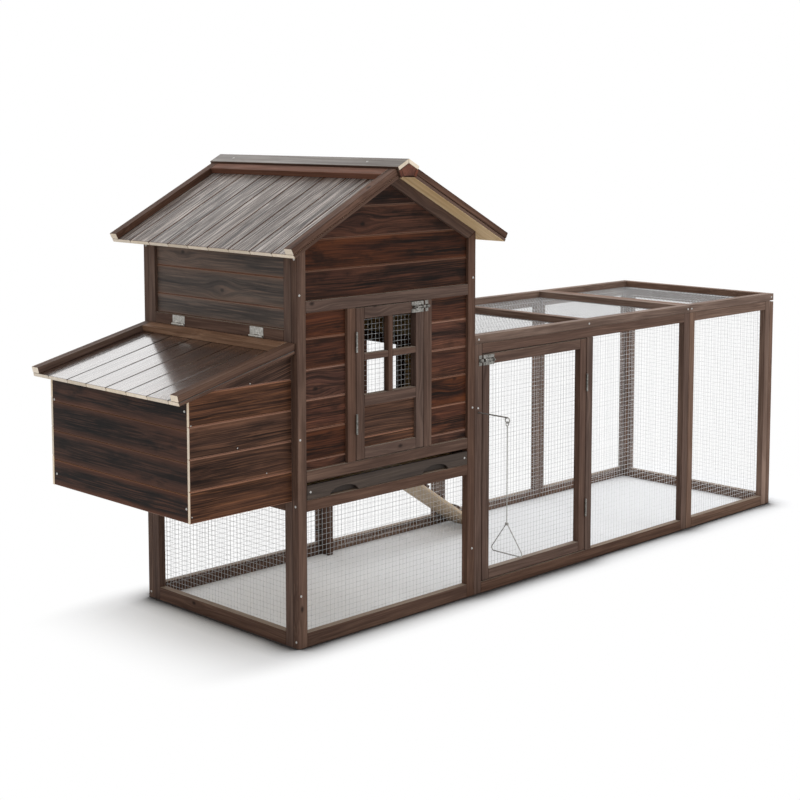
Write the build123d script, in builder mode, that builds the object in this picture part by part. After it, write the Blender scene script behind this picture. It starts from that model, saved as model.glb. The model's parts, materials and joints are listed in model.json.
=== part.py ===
"""Wooden chicken coop: a gabled house on a mesh base, a nest box on its side and a two-bay run."""

import os
from math import cos, radians, sin, tan

from build123d import *

os.makedirs("parts", exist_ok=True)

# The house front is at y = 0, its left face at x = 0 and the ground at z = 0, all in millimetres.
HOUSE_W = 780.0
HOUSE_D = 760.0

# Sawn timber of the panel frames, and the hairline left in every butt joint.
TIMBER_W = 35.0
TIMBER_T = 25.0
JOINT = 0.2

# Wall boards: thickness, set-back from the frame face, cover width, edge chamfer, narrowest rip.
BOARD_T = 10.0
BOARD_SET = 9.0
BOARD_COVER = 92.5
BOARD_V = 2.5
NARROWEST = 12.5

# Heights of the rails: sill top, then the undersides of the others.
SILL_H = 44.0
LOW_RAIL_Z = 417.0
FLOOR_RAIL_Z = 506.0
MID_RAIL_Z = 1018.0
NEST_RAIL_Z = 931.0
SIDE_TOP_Z = 1189.0

# Height of the first board joint in each wall.
WALL_SEAM = 569.5
GABLE_SEAM = 1141.5
DOOR_SEAM = 609.0
SIDE_SEAM = 1028.0
NEST_SIDE_SEAM = 543.0
NEST_FRONT_SEAM = 531.0

# Gable roof: pitch, top line of the ridge beam, boards, battens and overhangs.
PITCH = 27.6
RIDGE_Z = 1457.0
BEAM_HALF = 33.0
BEAM_SIDE = 25.0
STRIP_T = 12.0
ROOF_T = 12.0
BATTEN_T = 20.0
CAP_T = 12.0
CAP_W = 46.0
ROOF_SLOPE = 527.5
ROOF_FRONT = 70.0
ROOF_BACK = 75.0
CAP_OVER = 8.0
ROOF_BOARDS = 9

# House door in the front wall.
DOOR_X = 240.0
DOOR_W = 296.0
DOOR_GAP = 2.0
MUNTIN = 20.0
LOCK_RAIL_Z = 708.0

# Perches across the house.
PERCH_LIFT = 80.0
PERCH_H = 30.0
PERCH_SIDE = 5.0

# Drop tray under the house floor.
TRAY_H = 43.0
TRAY_FRONT_T = 12.0
TRAY_RIM = 41.0
TRAY_FLOOR_T = 6.0
ARCH_W = 116.0
ARCH_H = 22.0
ARCH_OFF = 202.0

# Nest box on the left wall, with its sloping lid.
NEST_X = 380.0
NEST_BOTTOM = 450.0
NEST_INSET = 27.0
NEST_T = 10.0
DIVIDER_H = 280.0
LID_PITCH = 13.6
LID_TOP_Z = 932.0
LID_BACK = 2.0
LID_REACH = 427.0
LID_T = 12.0
LID_SIDE = 20.0
LID_COVER = 101.5
LID_FIRST = 50.0

# Pop-hole in the right wall, with its sliding door and pull rod.
POP_Y = 348.0
POP_W = 188.0
POP_HEAD = 33.0
POP_DOOR_T = 9.0
POP_LAP = 5.0
ROD_X = 19.0
ROD_Z = 619.0
ROD_R = 2.5
ROD_REACH = 127.0
ROD_LOW_X = 28.5
ROD_LOW_Z = 530.0
ROD_BEND = 15.0
EYE_R = 9.0
EYE_WIRE = 2.2
HANDLE_WIRE = 2.0
HANDLE_RING = 7.0
HANDLE_DROP = 346.0
GRIP_W = 150.0
GRIP_H = 100.0
GRIP_BEND = 10.0
FERRULE_H = 9.0

# Ramp from the right wall down into the run, beside the back panel.
RAMP_TOP = 442.0
RAMP_PITCH = 33.2
RAMP_T = 12.0
RAMP_W = 184.0
RUNG = 20.0
RUNGS = 7

# Run: the near bays share one panel, the far bay has its own, and an end panel closes it.
RUN_NEAR = 1225.0
RUN_FAR = 570.0
RUN_H = 850.0
RUN_SILL = 38.0
BACK_PANELS = 3
BACK_STILE = 28.5
RUN_LID_T = 28.0
RUN_DOOR_W = 552.0
RUN_DOOR_GAP = 3.0
END_DROP = 5.0

# Welded mesh, drawn with a wide grid: it is stapled to the inner faces and laps over the timber.
NET_T = 1.6
NET_WIRE = 3.0
NET_LAP = 9.0
WIDE_LAP = 20.0

# Bent wire is drawn with a six-sided section.
WIRE_SIDES = 6

# Butt hinges and barrel bolts.
HINGE_L = 63.0
HINGE_R = 3.5
HINGE_PROUD = 3.8
PIN_R = 1.6
PIN_CLEAR = 0.05
LEAF_T = 0.9
LEAF_W = 20.0
DOOR_HINGE_LOW = 82.0
DOOR_HINGE_HIGH = 136.0
RUN_HINGE_LOW = 124.0
RUN_HINGE_HIGH = 190.0
LID_HINGE_IN = 154.0
BOLT_R = 3.5
BOLT_AXIS = 6.6
BOLT_L = 49.5
BOLT_THROW = 24.0
PLATE_L = 54.0
KEEPER_L = 19.0
STRAP_IN = 7.0
STRAP_W = 3.0
TAB_IN = 42.0
TAB_W = 5.0
TAB_REACH = 12.0
PLATE_H = 35.0
PLATE_T = 1.5

CENTRE = HOUSE_W / 2
SLOPE = radians(PITCH)
LID_SLOPE = radians(LID_PITCH)
WALL_Z0 = FLOOR_RAIL_Z + TIMBER_W
GABLE_Z0 = MID_RAIL_Z + TIMBER_W
NEST_WALL_Z0 = NEST_RAIL_Z + TIMBER_W
BEAM_BOTTOM = RIDGE_Z - BEAM_HALF * tan(SLOPE) - BEAM_SIDE * cos(SLOPE)
JAMB_L = DOOR_X - DOOR_GAP - TIMBER_W
JAMB_R = DOOR_X + DOOR_W + DOOR_GAP
RUN_X = HOUSE_W
BAY_X = RUN_X + RUN_NEAR
END_X = BAY_X + RUN_FAR
BACK_Y = HOUSE_D - TIMBER_T
POP_TOP = RUN_H - POP_HEAD
RUN_DOOR_X = RUN_X + TIMBER_W + RUN_DOOR_GAP
MID_STILE_X = RUN_DOOR_X + RUN_DOOR_W + RUN_DOOR_GAP
ROOF_Y0 = -ROOF_FRONT
ROOF_Y1 = HOUSE_D + ROOF_BACK


def under(x, depth):
    """Height of a line that runs parallel to the roof, depth below the ridge beam's top faces."""
    return RIDGE_Z - depth / cos(SLOPE) - abs(CENTRE - x) * tan(SLOPE)


def rect(u0, v0, u1, v1, mode=Mode.ADD):
    """One straight member in the open sketch, from corner to corner."""
    with Locations(((u0 + u1) / 2, (v0 + v1) / 2)):
        Rectangle(u1 - u0, v1 - v0, mode=mode)


def front_bars(y, depth, spans):
    """Members laid out on an upright plane across the house, extruded to the back."""
    with BuildSketch(Plane.XZ.offset(-y)) as layout:
        for span in spans:
            rect(*span)
    extrude(layout.sketch, amount=depth, dir=(0, 1, 0))


def side_bars(x, depth, spans):
    """Members laid out on an upright plane along the house depth, extruded to the right."""
    with BuildSketch(Plane.YZ.offset(x)) as layout:
        for span in spans:
            rect(*span)
    extrude(layout.sketch, amount=depth, dir=(1, 0, 0))


def flat_bars(z, depth, spans):
    """Members laid out on a level plane, extruded upwards."""
    with BuildSketch(Plane.XY.offset(z)) as layout:
        for span in spans:
            rect(*span)
    extrude(layout.sketch, amount=depth, dir=(0, 0, 1))


def net(plane, way, opening, lap, across, up):
    """A flat welded net over an opening, with a lap on its frame: one holed face, extruded."""
    u0, v0, u1, v1 = opening
    wide = u1 - u0 + 2 * lap
    high = v1 - v0 + 2 * lap
    step_u = (wide - NET_WIRE) / across
    step_v = (high - NET_WIRE) / up
    with BuildSketch(plane) as face:
        with Locations(((u0 + u1) / 2, (v0 + v1) / 2)):
            Rectangle(wide, high)
            with GridLocations(step_u, step_v, across, up):
                Rectangle(step_u - NET_WIRE, step_v - NET_WIRE, mode=Mode.SUBTRACT)
    extrude(face.sketch, amount=NET_T, dir=way)


def row_edges(z0, z1, seam):
    """Lower and upper edges of the boards that fill a wall, the outer ones ripped to fit."""
    cuts = [z0]
    seam = z0 + (seam - z0) % BOARD_COVER
    if seam < z0 + NARROWEST:
        seam += BOARD_COVER
    while seam < z1 - NARROWEST:
        cuts.append(seam)
        seam += BOARD_COVER
    cuts.append(z1)
    return [(low + JOINT / 2, high - JOINT / 2) for low, high in zip(cuts, cuts[1:])]


def board_section(u_out, u_in, v0, v1):
    """Section of a board with both outer edges chamfered, so that two boards meet in a V."""
    turn = BOARD_V if u_in > u_out else -BOARD_V
    return (
        (u_in, v0),
        (u_out + turn, v0),
        (u_out, v0 + BOARD_V),
        (u_out, v1 - BOARD_V),
        (u_out + turn, v1),
        (u_in, v1),
    )


def boards_x(x0, x1, y_out, y_in, edges):
    """Horizontal boards that run along x."""
    with BuildSketch(Plane.YZ.offset(x0 + JOINT)) as section:
        for low, high in edges:
            Polygon(*board_section(y_out, y_in, low, high), align=None)
    extrude(section.sketch, amount=x1 - x0 - 2 * JOINT, dir=(1, 0, 0))


def boards_y(y0, y1, x_out, x_in, edges):
    """Horizontal boards that run along y."""
    with BuildSketch(Plane.XZ.offset(-y0 - JOINT)) as section:
        for low, high in edges:
            Polygon(*board_section(x_out, x_in, low, high), align=None)
    extrude(section.sketch, amount=y1 - y0 - 2 * JOINT, dir=(0, 1, 0))


def end_layout():
    """Stiles, rails, studs and gable rakes that the front and the back frame share."""
    inner = TIMBER_W
    outer = HOUSE_W - TIMBER_W
    rake = BEAM_SIDE + TIMBER_W
    shoulder = under(0, BEAM_SIDE) - JOINT
    neck = under(inner, rake)
    crown = BEAM_BOTTOM - 0.5
    crown_x = CENTRE - (RIDGE_Z - BEAM_SIDE / cos(SLOPE) - JOINT - crown) / tan(SLOPE)
    left_stile = ((0, 0), (inner, 0), (inner, neck), (0, shoulder))
    left_rake = (
        (inner + JOINT, under(inner + JOINT, rake)),
        (2 * JOINT, under(2 * JOINT, BEAM_SIDE) - JOINT),
        (crown_x, crown),
        (CENTRE - JOINT / 2, crown),
        (CENTRE - JOINT / 2, under(CENTRE, rake)),
    )
    for shape in (left_stile, left_rake):
        Polygon(*shape, align=None)
        Polygon(*[(HOUSE_W - u, v) for u, v in shape], align=None)
    rect(inner + JOINT, 0, outer - JOINT, SILL_H)
    for rail in (LOW_RAIL_Z, FLOOR_RAIL_Z, MID_RAIL_Z):
        rect(inner + JOINT, rail, outer - JOINT, rail + TIMBER_W)
    for stud in (JAMB_L, JAMB_R):
        rect(stud, WALL_Z0 + JOINT, stud + TIMBER_W, MID_RAIL_Z - JOINT)


def gable_cut(y):
    """Keep only what lies inside the gable, between the mid rail and the rakes."""
    low = GABLE_Z0 + JOINT
    rake = BEAM_SIDE + TIMBER_W
    left = TIMBER_W + JOINT
    right = HOUSE_W - TIMBER_W - JOINT
    with BuildSketch(Plane.XZ.offset(-y)) as outline:
        Polygon(
            (left, low),
            (right, low),
            (right, under(right, rake) - JOINT),
            (CENTRE, under(CENTRE, rake) - JOINT),
            (left, under(left, rake) - JOINT),
            align=None,
        )
    extrude(outline.sketch, amount=BOARD_T, dir=(0, 1, 0), mode=Mode.INTERSECT)


def tube_between(start, end, radius):
    """A straight round bar from one point to another."""
    path = Vector(*end) - Vector(*start)
    with BuildSketch(Plane(origin=start, z_dir=tuple(path))) as section:
        Circle(radius)
    extrude(section.sketch, amount=path.length, dir=tuple(path))


# Front and back frames of the house.
with BuildPart() as front_frame:
    with BuildSketch(Plane.XZ):
        end_layout()
    extrude(amount=-TIMBER_T)

with BuildPart() as back_frame:
    with BuildSketch(Plane.XZ.offset(-BACK_Y)):
        end_layout()
    extrude(amount=-TIMBER_T)

# Front wall: boards to each side of the door, and the gable above the mid rail.
WALL_ROWS = row_edges(WALL_Z0, MID_RAIL_Z, WALL_SEAM)
GABLE_ROWS = row_edges(GABLE_Z0, under(CENTRE, BEAM_SIDE + TIMBER_W), GABLE_SEAM)

with BuildPart() as front_gable:
    boards_x(TIMBER_W, HOUSE_W - TIMBER_W, BOARD_SET, BOARD_SET + BOARD_T, GABLE_ROWS)
    gable_cut(BOARD_SET)

with BuildPart() as front_cladding:
    boards_x(TIMBER_W, JAMB_L, BOARD_SET, BOARD_SET + BOARD_T, WALL_ROWS)
    boards_x(JAMB_R + TIMBER_W, HOUSE_W - TIMBER_W, BOARD_SET, BOARD_SET + BOARD_T, WALL_ROWS)
    add(front_gable.part)

# Back wall, boarded all over.
BACK_OUT = HOUSE_D - BOARD_SET

with BuildPart() as back_gable:
    boards_x(TIMBER_W, HOUSE_W - TIMBER_W, BACK_OUT, BACK_OUT - BOARD_T, GABLE_ROWS)
    gable_cut(BACK_OUT - BOARD_T)

with BuildPart() as back_cladding:
    boards_x(TIMBER_W, JAMB_L, BACK_OUT, BACK_OUT - BOARD_T, WALL_ROWS)
    boards_x(JAMB_L + TIMBER_W, JAMB_R, BACK_OUT, BACK_OUT - BOARD_T, WALL_ROWS)
    boards_x(JAMB_R + TIMBER_W, HOUSE_W - TIMBER_W, BACK_OUT, BACK_OUT - BOARD_T, WALL_ROWS)
    add(back_gable.part)

# Left frame: its stiles stand between the front and back frames.
Y0 = TIMBER_T + JOINT
Y1 = BACK_Y - JOINT
Y_IN0 = Y0 + TIMBER_W + JOINT
Y_IN1 = Y1 - TIMBER_W - JOINT
SIDE_TOP = under(0, BEAM_SIDE) - JOINT

with BuildPart() as left_frame:
    side_bars(
        0,
        TIMBER_T,
        (
            (Y0, 0, Y0 + TIMBER_W, SIDE_TOP),
            (Y1 - TIMBER_W, 0, Y1, SIDE_TOP),
            (Y_IN0, 0, Y_IN1, SILL_H),
            (Y_IN0, LOW_RAIL_Z, Y_IN1, LOW_RAIL_Z + TIMBER_W),
            (Y_IN0, NEST_RAIL_Z, Y_IN1, NEST_WALL_Z0),
            (Y_IN0, SIDE_TOP_Z, Y_IN1, SIDE_TOP),
        ),
    )

with BuildPart() as left_cladding:
    left_rows = row_edges(NEST_WALL_Z0, SIDE_TOP_Z, SIDE_SEAM)
    boards_y(Y_IN0, Y_IN1, BOARD_SET, BOARD_SET + BOARD_T, left_rows)

# Right frame, with trimmers and a header round the pop-hole. Its front stile hangs from the front frame,
# so the hens pass under it into the run.
TRIM_Y0 = POP_Y - TIMBER_W
TRIM_Y1 = POP_Y + POP_W
HEADER_TOP = POP_TOP + TIMBER_W
RIGHT_X = HOUSE_W - TIMBER_T

with BuildPart() as right_frame:
    side_bars(
        RIGHT_X,
        TIMBER_T,
        (
            (Y0, LOW_RAIL_Z, Y0 + TIMBER_W, SIDE_TOP),
            (Y1 - TIMBER_W, 0, Y1, SIDE_TOP),
            (Y_IN0, LOW_RAIL_Z, Y_IN1, LOW_RAIL_Z + TIMBER_W),
            (Y_IN0, FLOOR_RAIL_Z, Y_IN1, WALL_Z0),
            (Y_IN0, POP_TOP, Y_IN1, HEADER_TOP),
            (Y_IN0, SIDE_TOP_Z, Y_IN1, SIDE_TOP),
            (TRIM_Y0, WALL_Z0 + JOINT, POP_Y, POP_TOP - JOINT),
            (TRIM_Y1, WALL_Z0 + JOINT, TRIM_Y1 + TIMBER_W, POP_TOP - JOINT),
        ),
    )

RIGHT_OUT = HOUSE_W - BOARD_SET
POP_ROWS = row_edges(WALL_Z0, POP_TOP, WALL_SEAM)

with BuildPart() as right_cladding:
    boards_y(Y_IN0, TRIM_Y0, RIGHT_OUT, RIGHT_OUT - BOARD_T, POP_ROWS)
    boards_y(TRIM_Y1 + TIMBER_W, Y_IN1, RIGHT_OUT, RIGHT_OUT - BOARD_T, POP_ROWS)
    upper_rows = row_edges(HEADER_TOP, SIDE_TOP_Z, WALL_SEAM + 4 * BOARD_COVER)
    boards_y(Y_IN0, Y_IN1, RIGHT_OUT, RIGHT_OUT - BOARD_T, upper_rows)

# Mesh round the space under the house.
FRONT_NET = Plane.XZ.offset(-TIMBER_T - JOINT)
BACK_NET = Plane.XZ.offset(-BACK_Y + JOINT)
LEFT_NET = Plane.YZ.offset(TIMBER_T + JOINT)
TO_BACK = (0, 1, 0)
TO_FRONT = (0, -1, 0)
BASE_OPENING = (TIMBER_W, SILL_H, HOUSE_W - TIMBER_W, LOW_RAIL_Z)

with BuildPart() as front_lower_mesh:
    net(FRONT_NET, TO_BACK, BASE_OPENING, NET_LAP, 6, 3)

with BuildPart() as back_lower_mesh:
    net(BACK_NET, TO_FRONT, BASE_OPENING, NET_LAP, 6, 3)

with BuildPart() as left_lower_mesh:
    net(LEFT_NET, (1, 0, 0), (Y_IN0, SILL_H, Y_IN1, LOW_RAIL_Z), NET_LAP, 5, 3)

# Ridge: a five-sided beam with a strip on each side, under a cap of two boards.
RIDGE_Y0 = ROOF_Y0 - CAP_OVER
RIDGE_L = ROOF_Y1 + CAP_OVER - RIDGE_Y0


def on_slope(along, lift):
    """Point on the left slope: distance from the ridge line and height off the beam's top face."""
    return (
        CENTRE - along * cos(SLOPE) - lift * sin(SLOPE),
        RIDGE_Z - along * sin(SLOPE) + lift * cos(SLOPE),
    )


SHOULDER = BEAM_HALF / cos(SLOPE)
ROOF_HEAD = SHOULDER + STRIP_T + 2 * JOINT

with BuildPart() as ridge_beam:
    with BuildSketch(Plane.XZ.offset(-RIDGE_Y0)):
        heel = on_slope(SHOULDER, -BEAM_SIDE)
        shoulder_left = on_slope(SHOULDER, 0)
        mirrored_heel = (HOUSE_W - heel[0], heel[1])
        mirrored_shoulder = (HOUSE_W - shoulder_left[0], shoulder_left[1])
        Polygon(heel, mirrored_heel, mirrored_shoulder, (CENTRE, RIDGE_Z), shoulder_left, align=None)
        strip = (
            on_slope(SHOULDER + JOINT, 0),
            on_slope(SHOULDER + JOINT, -BEAM_SIDE),
            on_slope(SHOULDER + JOINT + STRIP_T, -BEAM_SIDE),
            on_slope(SHOULDER + JOINT + STRIP_T, 0),
        )
        Polygon(*strip, align=None)
        Polygon(*[(HOUSE_W - u, v) for u, v in strip], align=None)
    extrude(amount=-RIDGE_L)

with BuildPart() as ridge_cap:
    with BuildSketch(Plane.XZ.offset(-RIDGE_Y0)):
        foot = on_slope(CAP_W, JOINT)
        edge = on_slope(CAP_W, JOINT + CAP_T)
        inside = RIDGE_Z + JOINT / cos(SLOPE)
        outside = RIDGE_Z + (JOINT + CAP_T) / cos(SLOPE)
        cap_board = ((CENTRE - JOINT / 2, inside), (CENTRE - JOINT / 2, outside), edge, foot)
        Polygon(*cap_board, align=None)
        Polygon(*[(HOUSE_W - u, v) for u, v in cap_board], align=None)
    extrude(amount=-RIDGE_L)

# Roof boards run down the slope side by side; battens lie on their two outer edges and at the top.
DOWN_LEFT = Vector(-cos(SLOPE), 0, -sin(SLOPE))
HEAD_X, HEAD_Z = on_slope(ROOF_HEAD, 0)
ROOF_PLANE = Plane(origin=(HEAD_X, 0, HEAD_Z), x_dir=(0, 1, 0), z_dir=tuple(DOWN_LEFT))
ROOF_L = ROOF_SLOPE - ROOF_HEAD
ROOF_STEP = (ROOF_Y1 - ROOF_Y0) / ROOF_BOARDS
BATTEN_LOW = BEAM_SIDE - ROOF_T
MIRROR = Plane.YZ.offset(CENTRE)

with BuildPart() as roof_left_boards:
    with BuildSketch(ROOF_PLANE) as roof_section:
        for index in range(ROOF_BOARDS):
            near = ROOF_Y0 + index * ROOF_STEP + JOINT / 2
            far = near + ROOF_STEP - JOINT
            Polygon(
                (near, BEAM_SIDE),
                (near, BATTEN_LOW + BOARD_V),
                (near + BOARD_V, BATTEN_LOW),
                (far - BOARD_V, BATTEN_LOW),
                (far, BATTEN_LOW + BOARD_V),
                (far, BEAM_SIDE),
                align=None,
            )
    extrude(roof_section.sketch, amount=ROOF_L, dir=tuple(DOWN_LEFT))

with BuildPart() as roof_right_boards:
    mirror(roof_left_boards.part, about=MIRROR)

with BuildPart() as left_battens:
    with BuildSketch(ROOF_PLANE) as verge_section:
        rect(ROOF_Y0, BATTEN_LOW - BATTEN_T, ROOF_Y0 + TIMBER_W, BATTEN_LOW - JOINT)
        rect(ROOF_Y1 - TIMBER_W, BATTEN_LOW - BATTEN_T, ROOF_Y1, BATTEN_LOW - JOINT)
    extrude(verge_section.sketch, amount=ROOF_L, dir=tuple(DOWN_LEFT))
    with BuildSketch(ROOF_PLANE) as top_section:
        rect(
            ROOF_Y0 + TIMBER_W + JOINT,
            BATTEN_LOW - BATTEN_T,
            ROOF_Y1 - TIMBER_W - JOINT,
            BATTEN_LOW - JOINT,
        )
    extrude(top_section.sketch, amount=TIMBER_W, dir=tuple(DOWN_LEFT))

with BuildPart() as roof_battens:
    add(left_battens.part)
    mirror(left_battens.part, about=MIRROR)

# Nest box: two side walls, a front between them, a floor and a divider.
NEST_Y0 = NEST_INSET
NEST_Y1 = HOUSE_D - NEST_INSET
LID_STACK = LID_T + BATTEN_T


def lid_under(x):
    """Underside of the nest lid above the point x."""
    return LID_TOP_Z - LID_STACK / cos(LID_SLOPE) + (x + LID_BACK) * tan(LID_SLOPE)


NEST_FRONT_TOP = lid_under(-NEST_X) - JOINT
NEST_ROWS = row_edges(NEST_BOTTOM, lid_under(0), NEST_SIDE_SEAM)


def nest_side(y_out, y_in):
    """Boards of one nest box side, cut along the slope of the lid."""
    with BuildSketch(Plane.YZ.offset(-NEST_X)) as section:
        for low, high in NEST_ROWS:
            Polygon(*board_section(y_out, y_in, low, high), align=None)
    extrude(section.sketch, amount=NEST_X - JOINT, dir=(1, 0, 0))


with BuildPart() as nest_box_sides:
    nest_side(NEST_Y0, NEST_Y0 + NEST_T)
    nest_side(NEST_Y1, NEST_Y1 - NEST_T)
    with BuildSketch(Plane.XZ) as side_outline:
        Polygon(
            (-NEST_X, NEST_BOTTOM),
            (-JOINT, NEST_BOTTOM),
            (-JOINT, lid_under(0) - JOINT),
            (-NEST_X, NEST_FRONT_TOP),
            align=None,
        )
    extrude(side_outline.sketch, amount=HOUSE_D, dir=(0, 1, 0), mode=Mode.INTERSECT)

with BuildPart() as nest_box_front:
    boards_y(
        NEST_Y0 + NEST_T,
        NEST_Y1 - NEST_T,
        -NEST_X,
        -NEST_X + NEST_T,
        row_edges(NEST_BOTTOM, NEST_FRONT_TOP, NEST_FRONT_SEAM),
    )

NEST_FLOOR_Z = NEST_BOTTOM + NEST_T

with BuildPart() as nest_box_floor:
    flat_bars(
        NEST_BOTTOM,
        NEST_T,
        ((-NEST_X + NEST_T + JOINT, NEST_Y0 + NEST_T + JOINT, -JOINT, NEST_Y1 - NEST_T - JOINT),),
    )

with BuildPart() as nest_box_divider:
    front_bars(
        HOUSE_D / 2 - NEST_T / 2,
        NEST_T,
        ((-NEST_X + NEST_T + JOINT, NEST_FLOOR_Z + JOINT, -JOINT, NEST_FLOOR_Z + DIVIDER_H),),
    )

# Nest lid: boards down the slope, side battens and a top batten, cut square at the eave.
LID_Y0 = NEST_Y0 - LID_SIDE
LID_Y1 = NEST_Y1 + LID_SIDE
LID_DOWN = Vector(-cos(LID_SLOPE), 0, -sin(LID_SLOPE))
LID_START = 30.0
LID_ORIGIN = (LID_START, 0, lid_under(LID_START))
LID_PLANE = Plane(origin=LID_ORIGIN, x_dir=(0, 1, 0), z_dir=tuple(LID_DOWN))
LID_L = (LID_START + LID_REACH) / cos(LID_SLOPE)
LID_COUNT = int((LID_Y1 - LID_Y0 - LID_FIRST) / LID_COVER) + 1
LID_SEAMS = [LID_Y0] + [LID_Y0 + LID_FIRST + index * LID_COVER for index in range(LID_COUNT)] + [LID_Y1]
LID_CUT = Plane.YZ.offset(-LID_BACK)

with BuildPart() as nest_lid_boards:
    with BuildSketch(LID_PLANE) as lid_section:
        for seam_near, seam_far in zip(LID_SEAMS, LID_SEAMS[1:]):
            near = seam_near + JOINT / 2
            far = seam_far - JOINT / 2
            Polygon(
                (near, 0),
                (near, -LID_T + BOARD_V),
                (near + BOARD_V, -LID_T),
                (far - BOARD_V, -LID_T),
                (far, -LID_T + BOARD_V),
                (far, 0),
                align=None,
            )
    extrude(lid_section.sketch, amount=LID_L, dir=tuple(LID_DOWN))
    split(bisect_by=LID_CUT, keep=Keep.BOTTOM)

with BuildPart() as nest_lid_battens:
    with BuildSketch(LID_PLANE) as lid_verges:
        rect(LID_Y0, -LID_STACK, LID_Y0 + TIMBER_W, -LID_T - JOINT)
        rect(LID_Y1 - TIMBER_W, -LID_STACK, LID_Y1, -LID_T - JOINT)
    extrude(lid_verges.sketch, amount=LID_L, dir=tuple(LID_DOWN))
    with BuildSketch(LID_PLANE) as lid_top:
        rect(LID_Y0 + TIMBER_W + JOINT, -LID_STACK, LID_Y1 - TIMBER_W - JOINT, -LID_T - JOINT)
    extrude(lid_top.sketch, amount=LID_START / cos(LID_SLOPE) + TIMBER_W, dir=tuple(LID_DOWN))
    split(bisect_by=LID_CUT, keep=Keep.BOTTOM)

# House door: a frame with a cross of muntins over mesh, and a boarded lower panel.
DOOR_X1 = DOOR_X + DOOR_W
DOOR_Z0 = WALL_Z0 + DOOR_GAP
DOOR_Z1 = MID_RAIL_Z - DOOR_GAP
DOOR_IN0 = DOOR_X + TIMBER_W
DOOR_IN1 = DOOR_X1 - TIMBER_W
DOOR_MID = (DOOR_X + DOOR_X1) / 2
PANEL_Z0 = DOOR_Z0 + TIMBER_W
WINDOW_Z0 = LOCK_RAIL_Z + TIMBER_W
WINDOW_Z1 = DOOR_Z1 - TIMBER_W
WINDOW_MID = (WINDOW_Z0 + WINDOW_Z1) / 2

with BuildPart() as house_door_frame:
    front_bars(
        0,
        TIMBER_T,
        (
            (DOOR_X, DOOR_Z0, DOOR_IN0, DOOR_Z1),
            (DOOR_IN1, DOOR_Z0, DOOR_X1, DOOR_Z1),
            (DOOR_IN0 + JOINT, DOOR_Z0, DOOR_IN1 - JOINT, PANEL_Z0),
            (DOOR_IN0 + JOINT, LOCK_RAIL_Z, DOOR_IN1 - JOINT, WINDOW_Z0),
            (DOOR_IN0 + JOINT, WINDOW_Z1, DOOR_IN1 - JOINT, DOOR_Z1),
        ),
    )
    half = MUNTIN / 2
    front_bars(
        0,
        TIMBER_T - 4,
        (
            (DOOR_MID - half, WINDOW_Z0 + JOINT, DOOR_MID + half, WINDOW_Z1 - JOINT),
            (DOOR_IN0 + JOINT, WINDOW_MID - half, DOOR_MID - half - JOINT, WINDOW_MID + half),
            (DOOR_MID + half + JOINT, WINDOW_MID - half, DOOR_IN1 - JOINT, WINDOW_MID + half),
        ),
    )

with BuildPart() as house_door_panel:
    boards_x(DOOR_IN0, DOOR_IN1, BOARD_SET, BOARD_SET + BOARD_T, row_edges(PANEL_Z0, LOCK_RAIL_Z, DOOR_SEAM))

with BuildPart() as house_door_mesh:
    net(FRONT_NET, TO_BACK, (DOOR_IN0, WINDOW_Z0, DOOR_IN1, WINDOW_Z1), NET_LAP, 4, 4)

# Drop tray: a front board with two finger arches, rims that slide on two runners, a floor between.
TRAY_X0 = TIMBER_W + 1.5
TRAY_X1 = HOUSE_W - TIMBER_W - 1.5
TRAY_IN0 = TRAY_X0 + BOARD_T + JOINT
TRAY_IN1 = TRAY_X1 - BOARD_T - JOINT
TRAY_Z = LOW_RAIL_Z + TIMBER_W + 1.3
TRAY_END = BACK_Y - 12
RUNNER_TOP = TRAY_Z - 0.3

with BuildPart() as tray_front:
    with BuildSketch(Plane.XZ):
        rect(TRAY_X0, TRAY_Z, TRAY_X1, TRAY_Z + TRAY_H)
        with Locations((CENTRE - ARCH_OFF, TRAY_Z), (CENTRE + ARCH_OFF, TRAY_Z)):
            Ellipse(ARCH_W / 2, ARCH_H, mode=Mode.SUBTRACT)
    extrude(amount=-TRAY_FRONT_T)

with BuildPart() as tray_rims:
    flat_bars(
        TRAY_Z,
        TRAY_RIM,
        (
            (TRAY_X0, TRAY_FRONT_T + JOINT, TRAY_X0 + BOARD_T, TRAY_END),
            (TRAY_X1 - BOARD_T, TRAY_FRONT_T + JOINT, TRAY_X1, TRAY_END),
            (TRAY_IN0, TRAY_END - BOARD_T, TRAY_IN1, TRAY_END),
        ),
    )

with BuildPart() as tray_floor:
    flat_bars(
        TRAY_Z + ARCH_H + 1,
        TRAY_FLOOR_T,
        ((TRAY_IN0, TRAY_FRONT_T + JOINT, TRAY_IN1, TRAY_END - BOARD_T - JOINT),),
    )

with BuildPart() as tray_runners:
    front_bars(
        Y0,
        Y1 - Y0,
        (
            (TIMBER_T + JOINT, RUNNER_TOP - TIMBER_T, TIMBER_T * 2, RUNNER_TOP),
            (HOUSE_W - TIMBER_T * 2, RUNNER_TOP - TIMBER_T, RIGHT_X - JOINT, RUNNER_TOP),
        ),
    )

# Perches from the front studs to the back studs.
with BuildPart() as perches:
    for stud in (JAMB_L, JAMB_R):
        perch_z = WALL_Z0 + PERCH_LIFT
        perch = (stud + PERCH_SIDE, perch_z, stud + TIMBER_W - PERCH_SIDE, perch_z + PERCH_H)
        front_bars(Y0, Y1 - Y0, (perch,))

# Pop door: it slides along y in two grooved guides on the run side of the right wall.
POP_Z0 = FLOOR_RAIL_Z + 21.3
POP_Z1 = POP_TOP + 13.7
POP_X = HOUSE_W + 7.0
POP_DOOR_W = POP_W + 2 * POP_LAP
POP_SHUT = POP_Y - POP_LAP
POP_OPEN = BACK_Y - 3 - POP_DOOR_W
POP_TRAVEL = POP_OPEN - POP_SHUT
GUIDE_X1 = POP_X + POP_DOOR_T + 7.0

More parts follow.
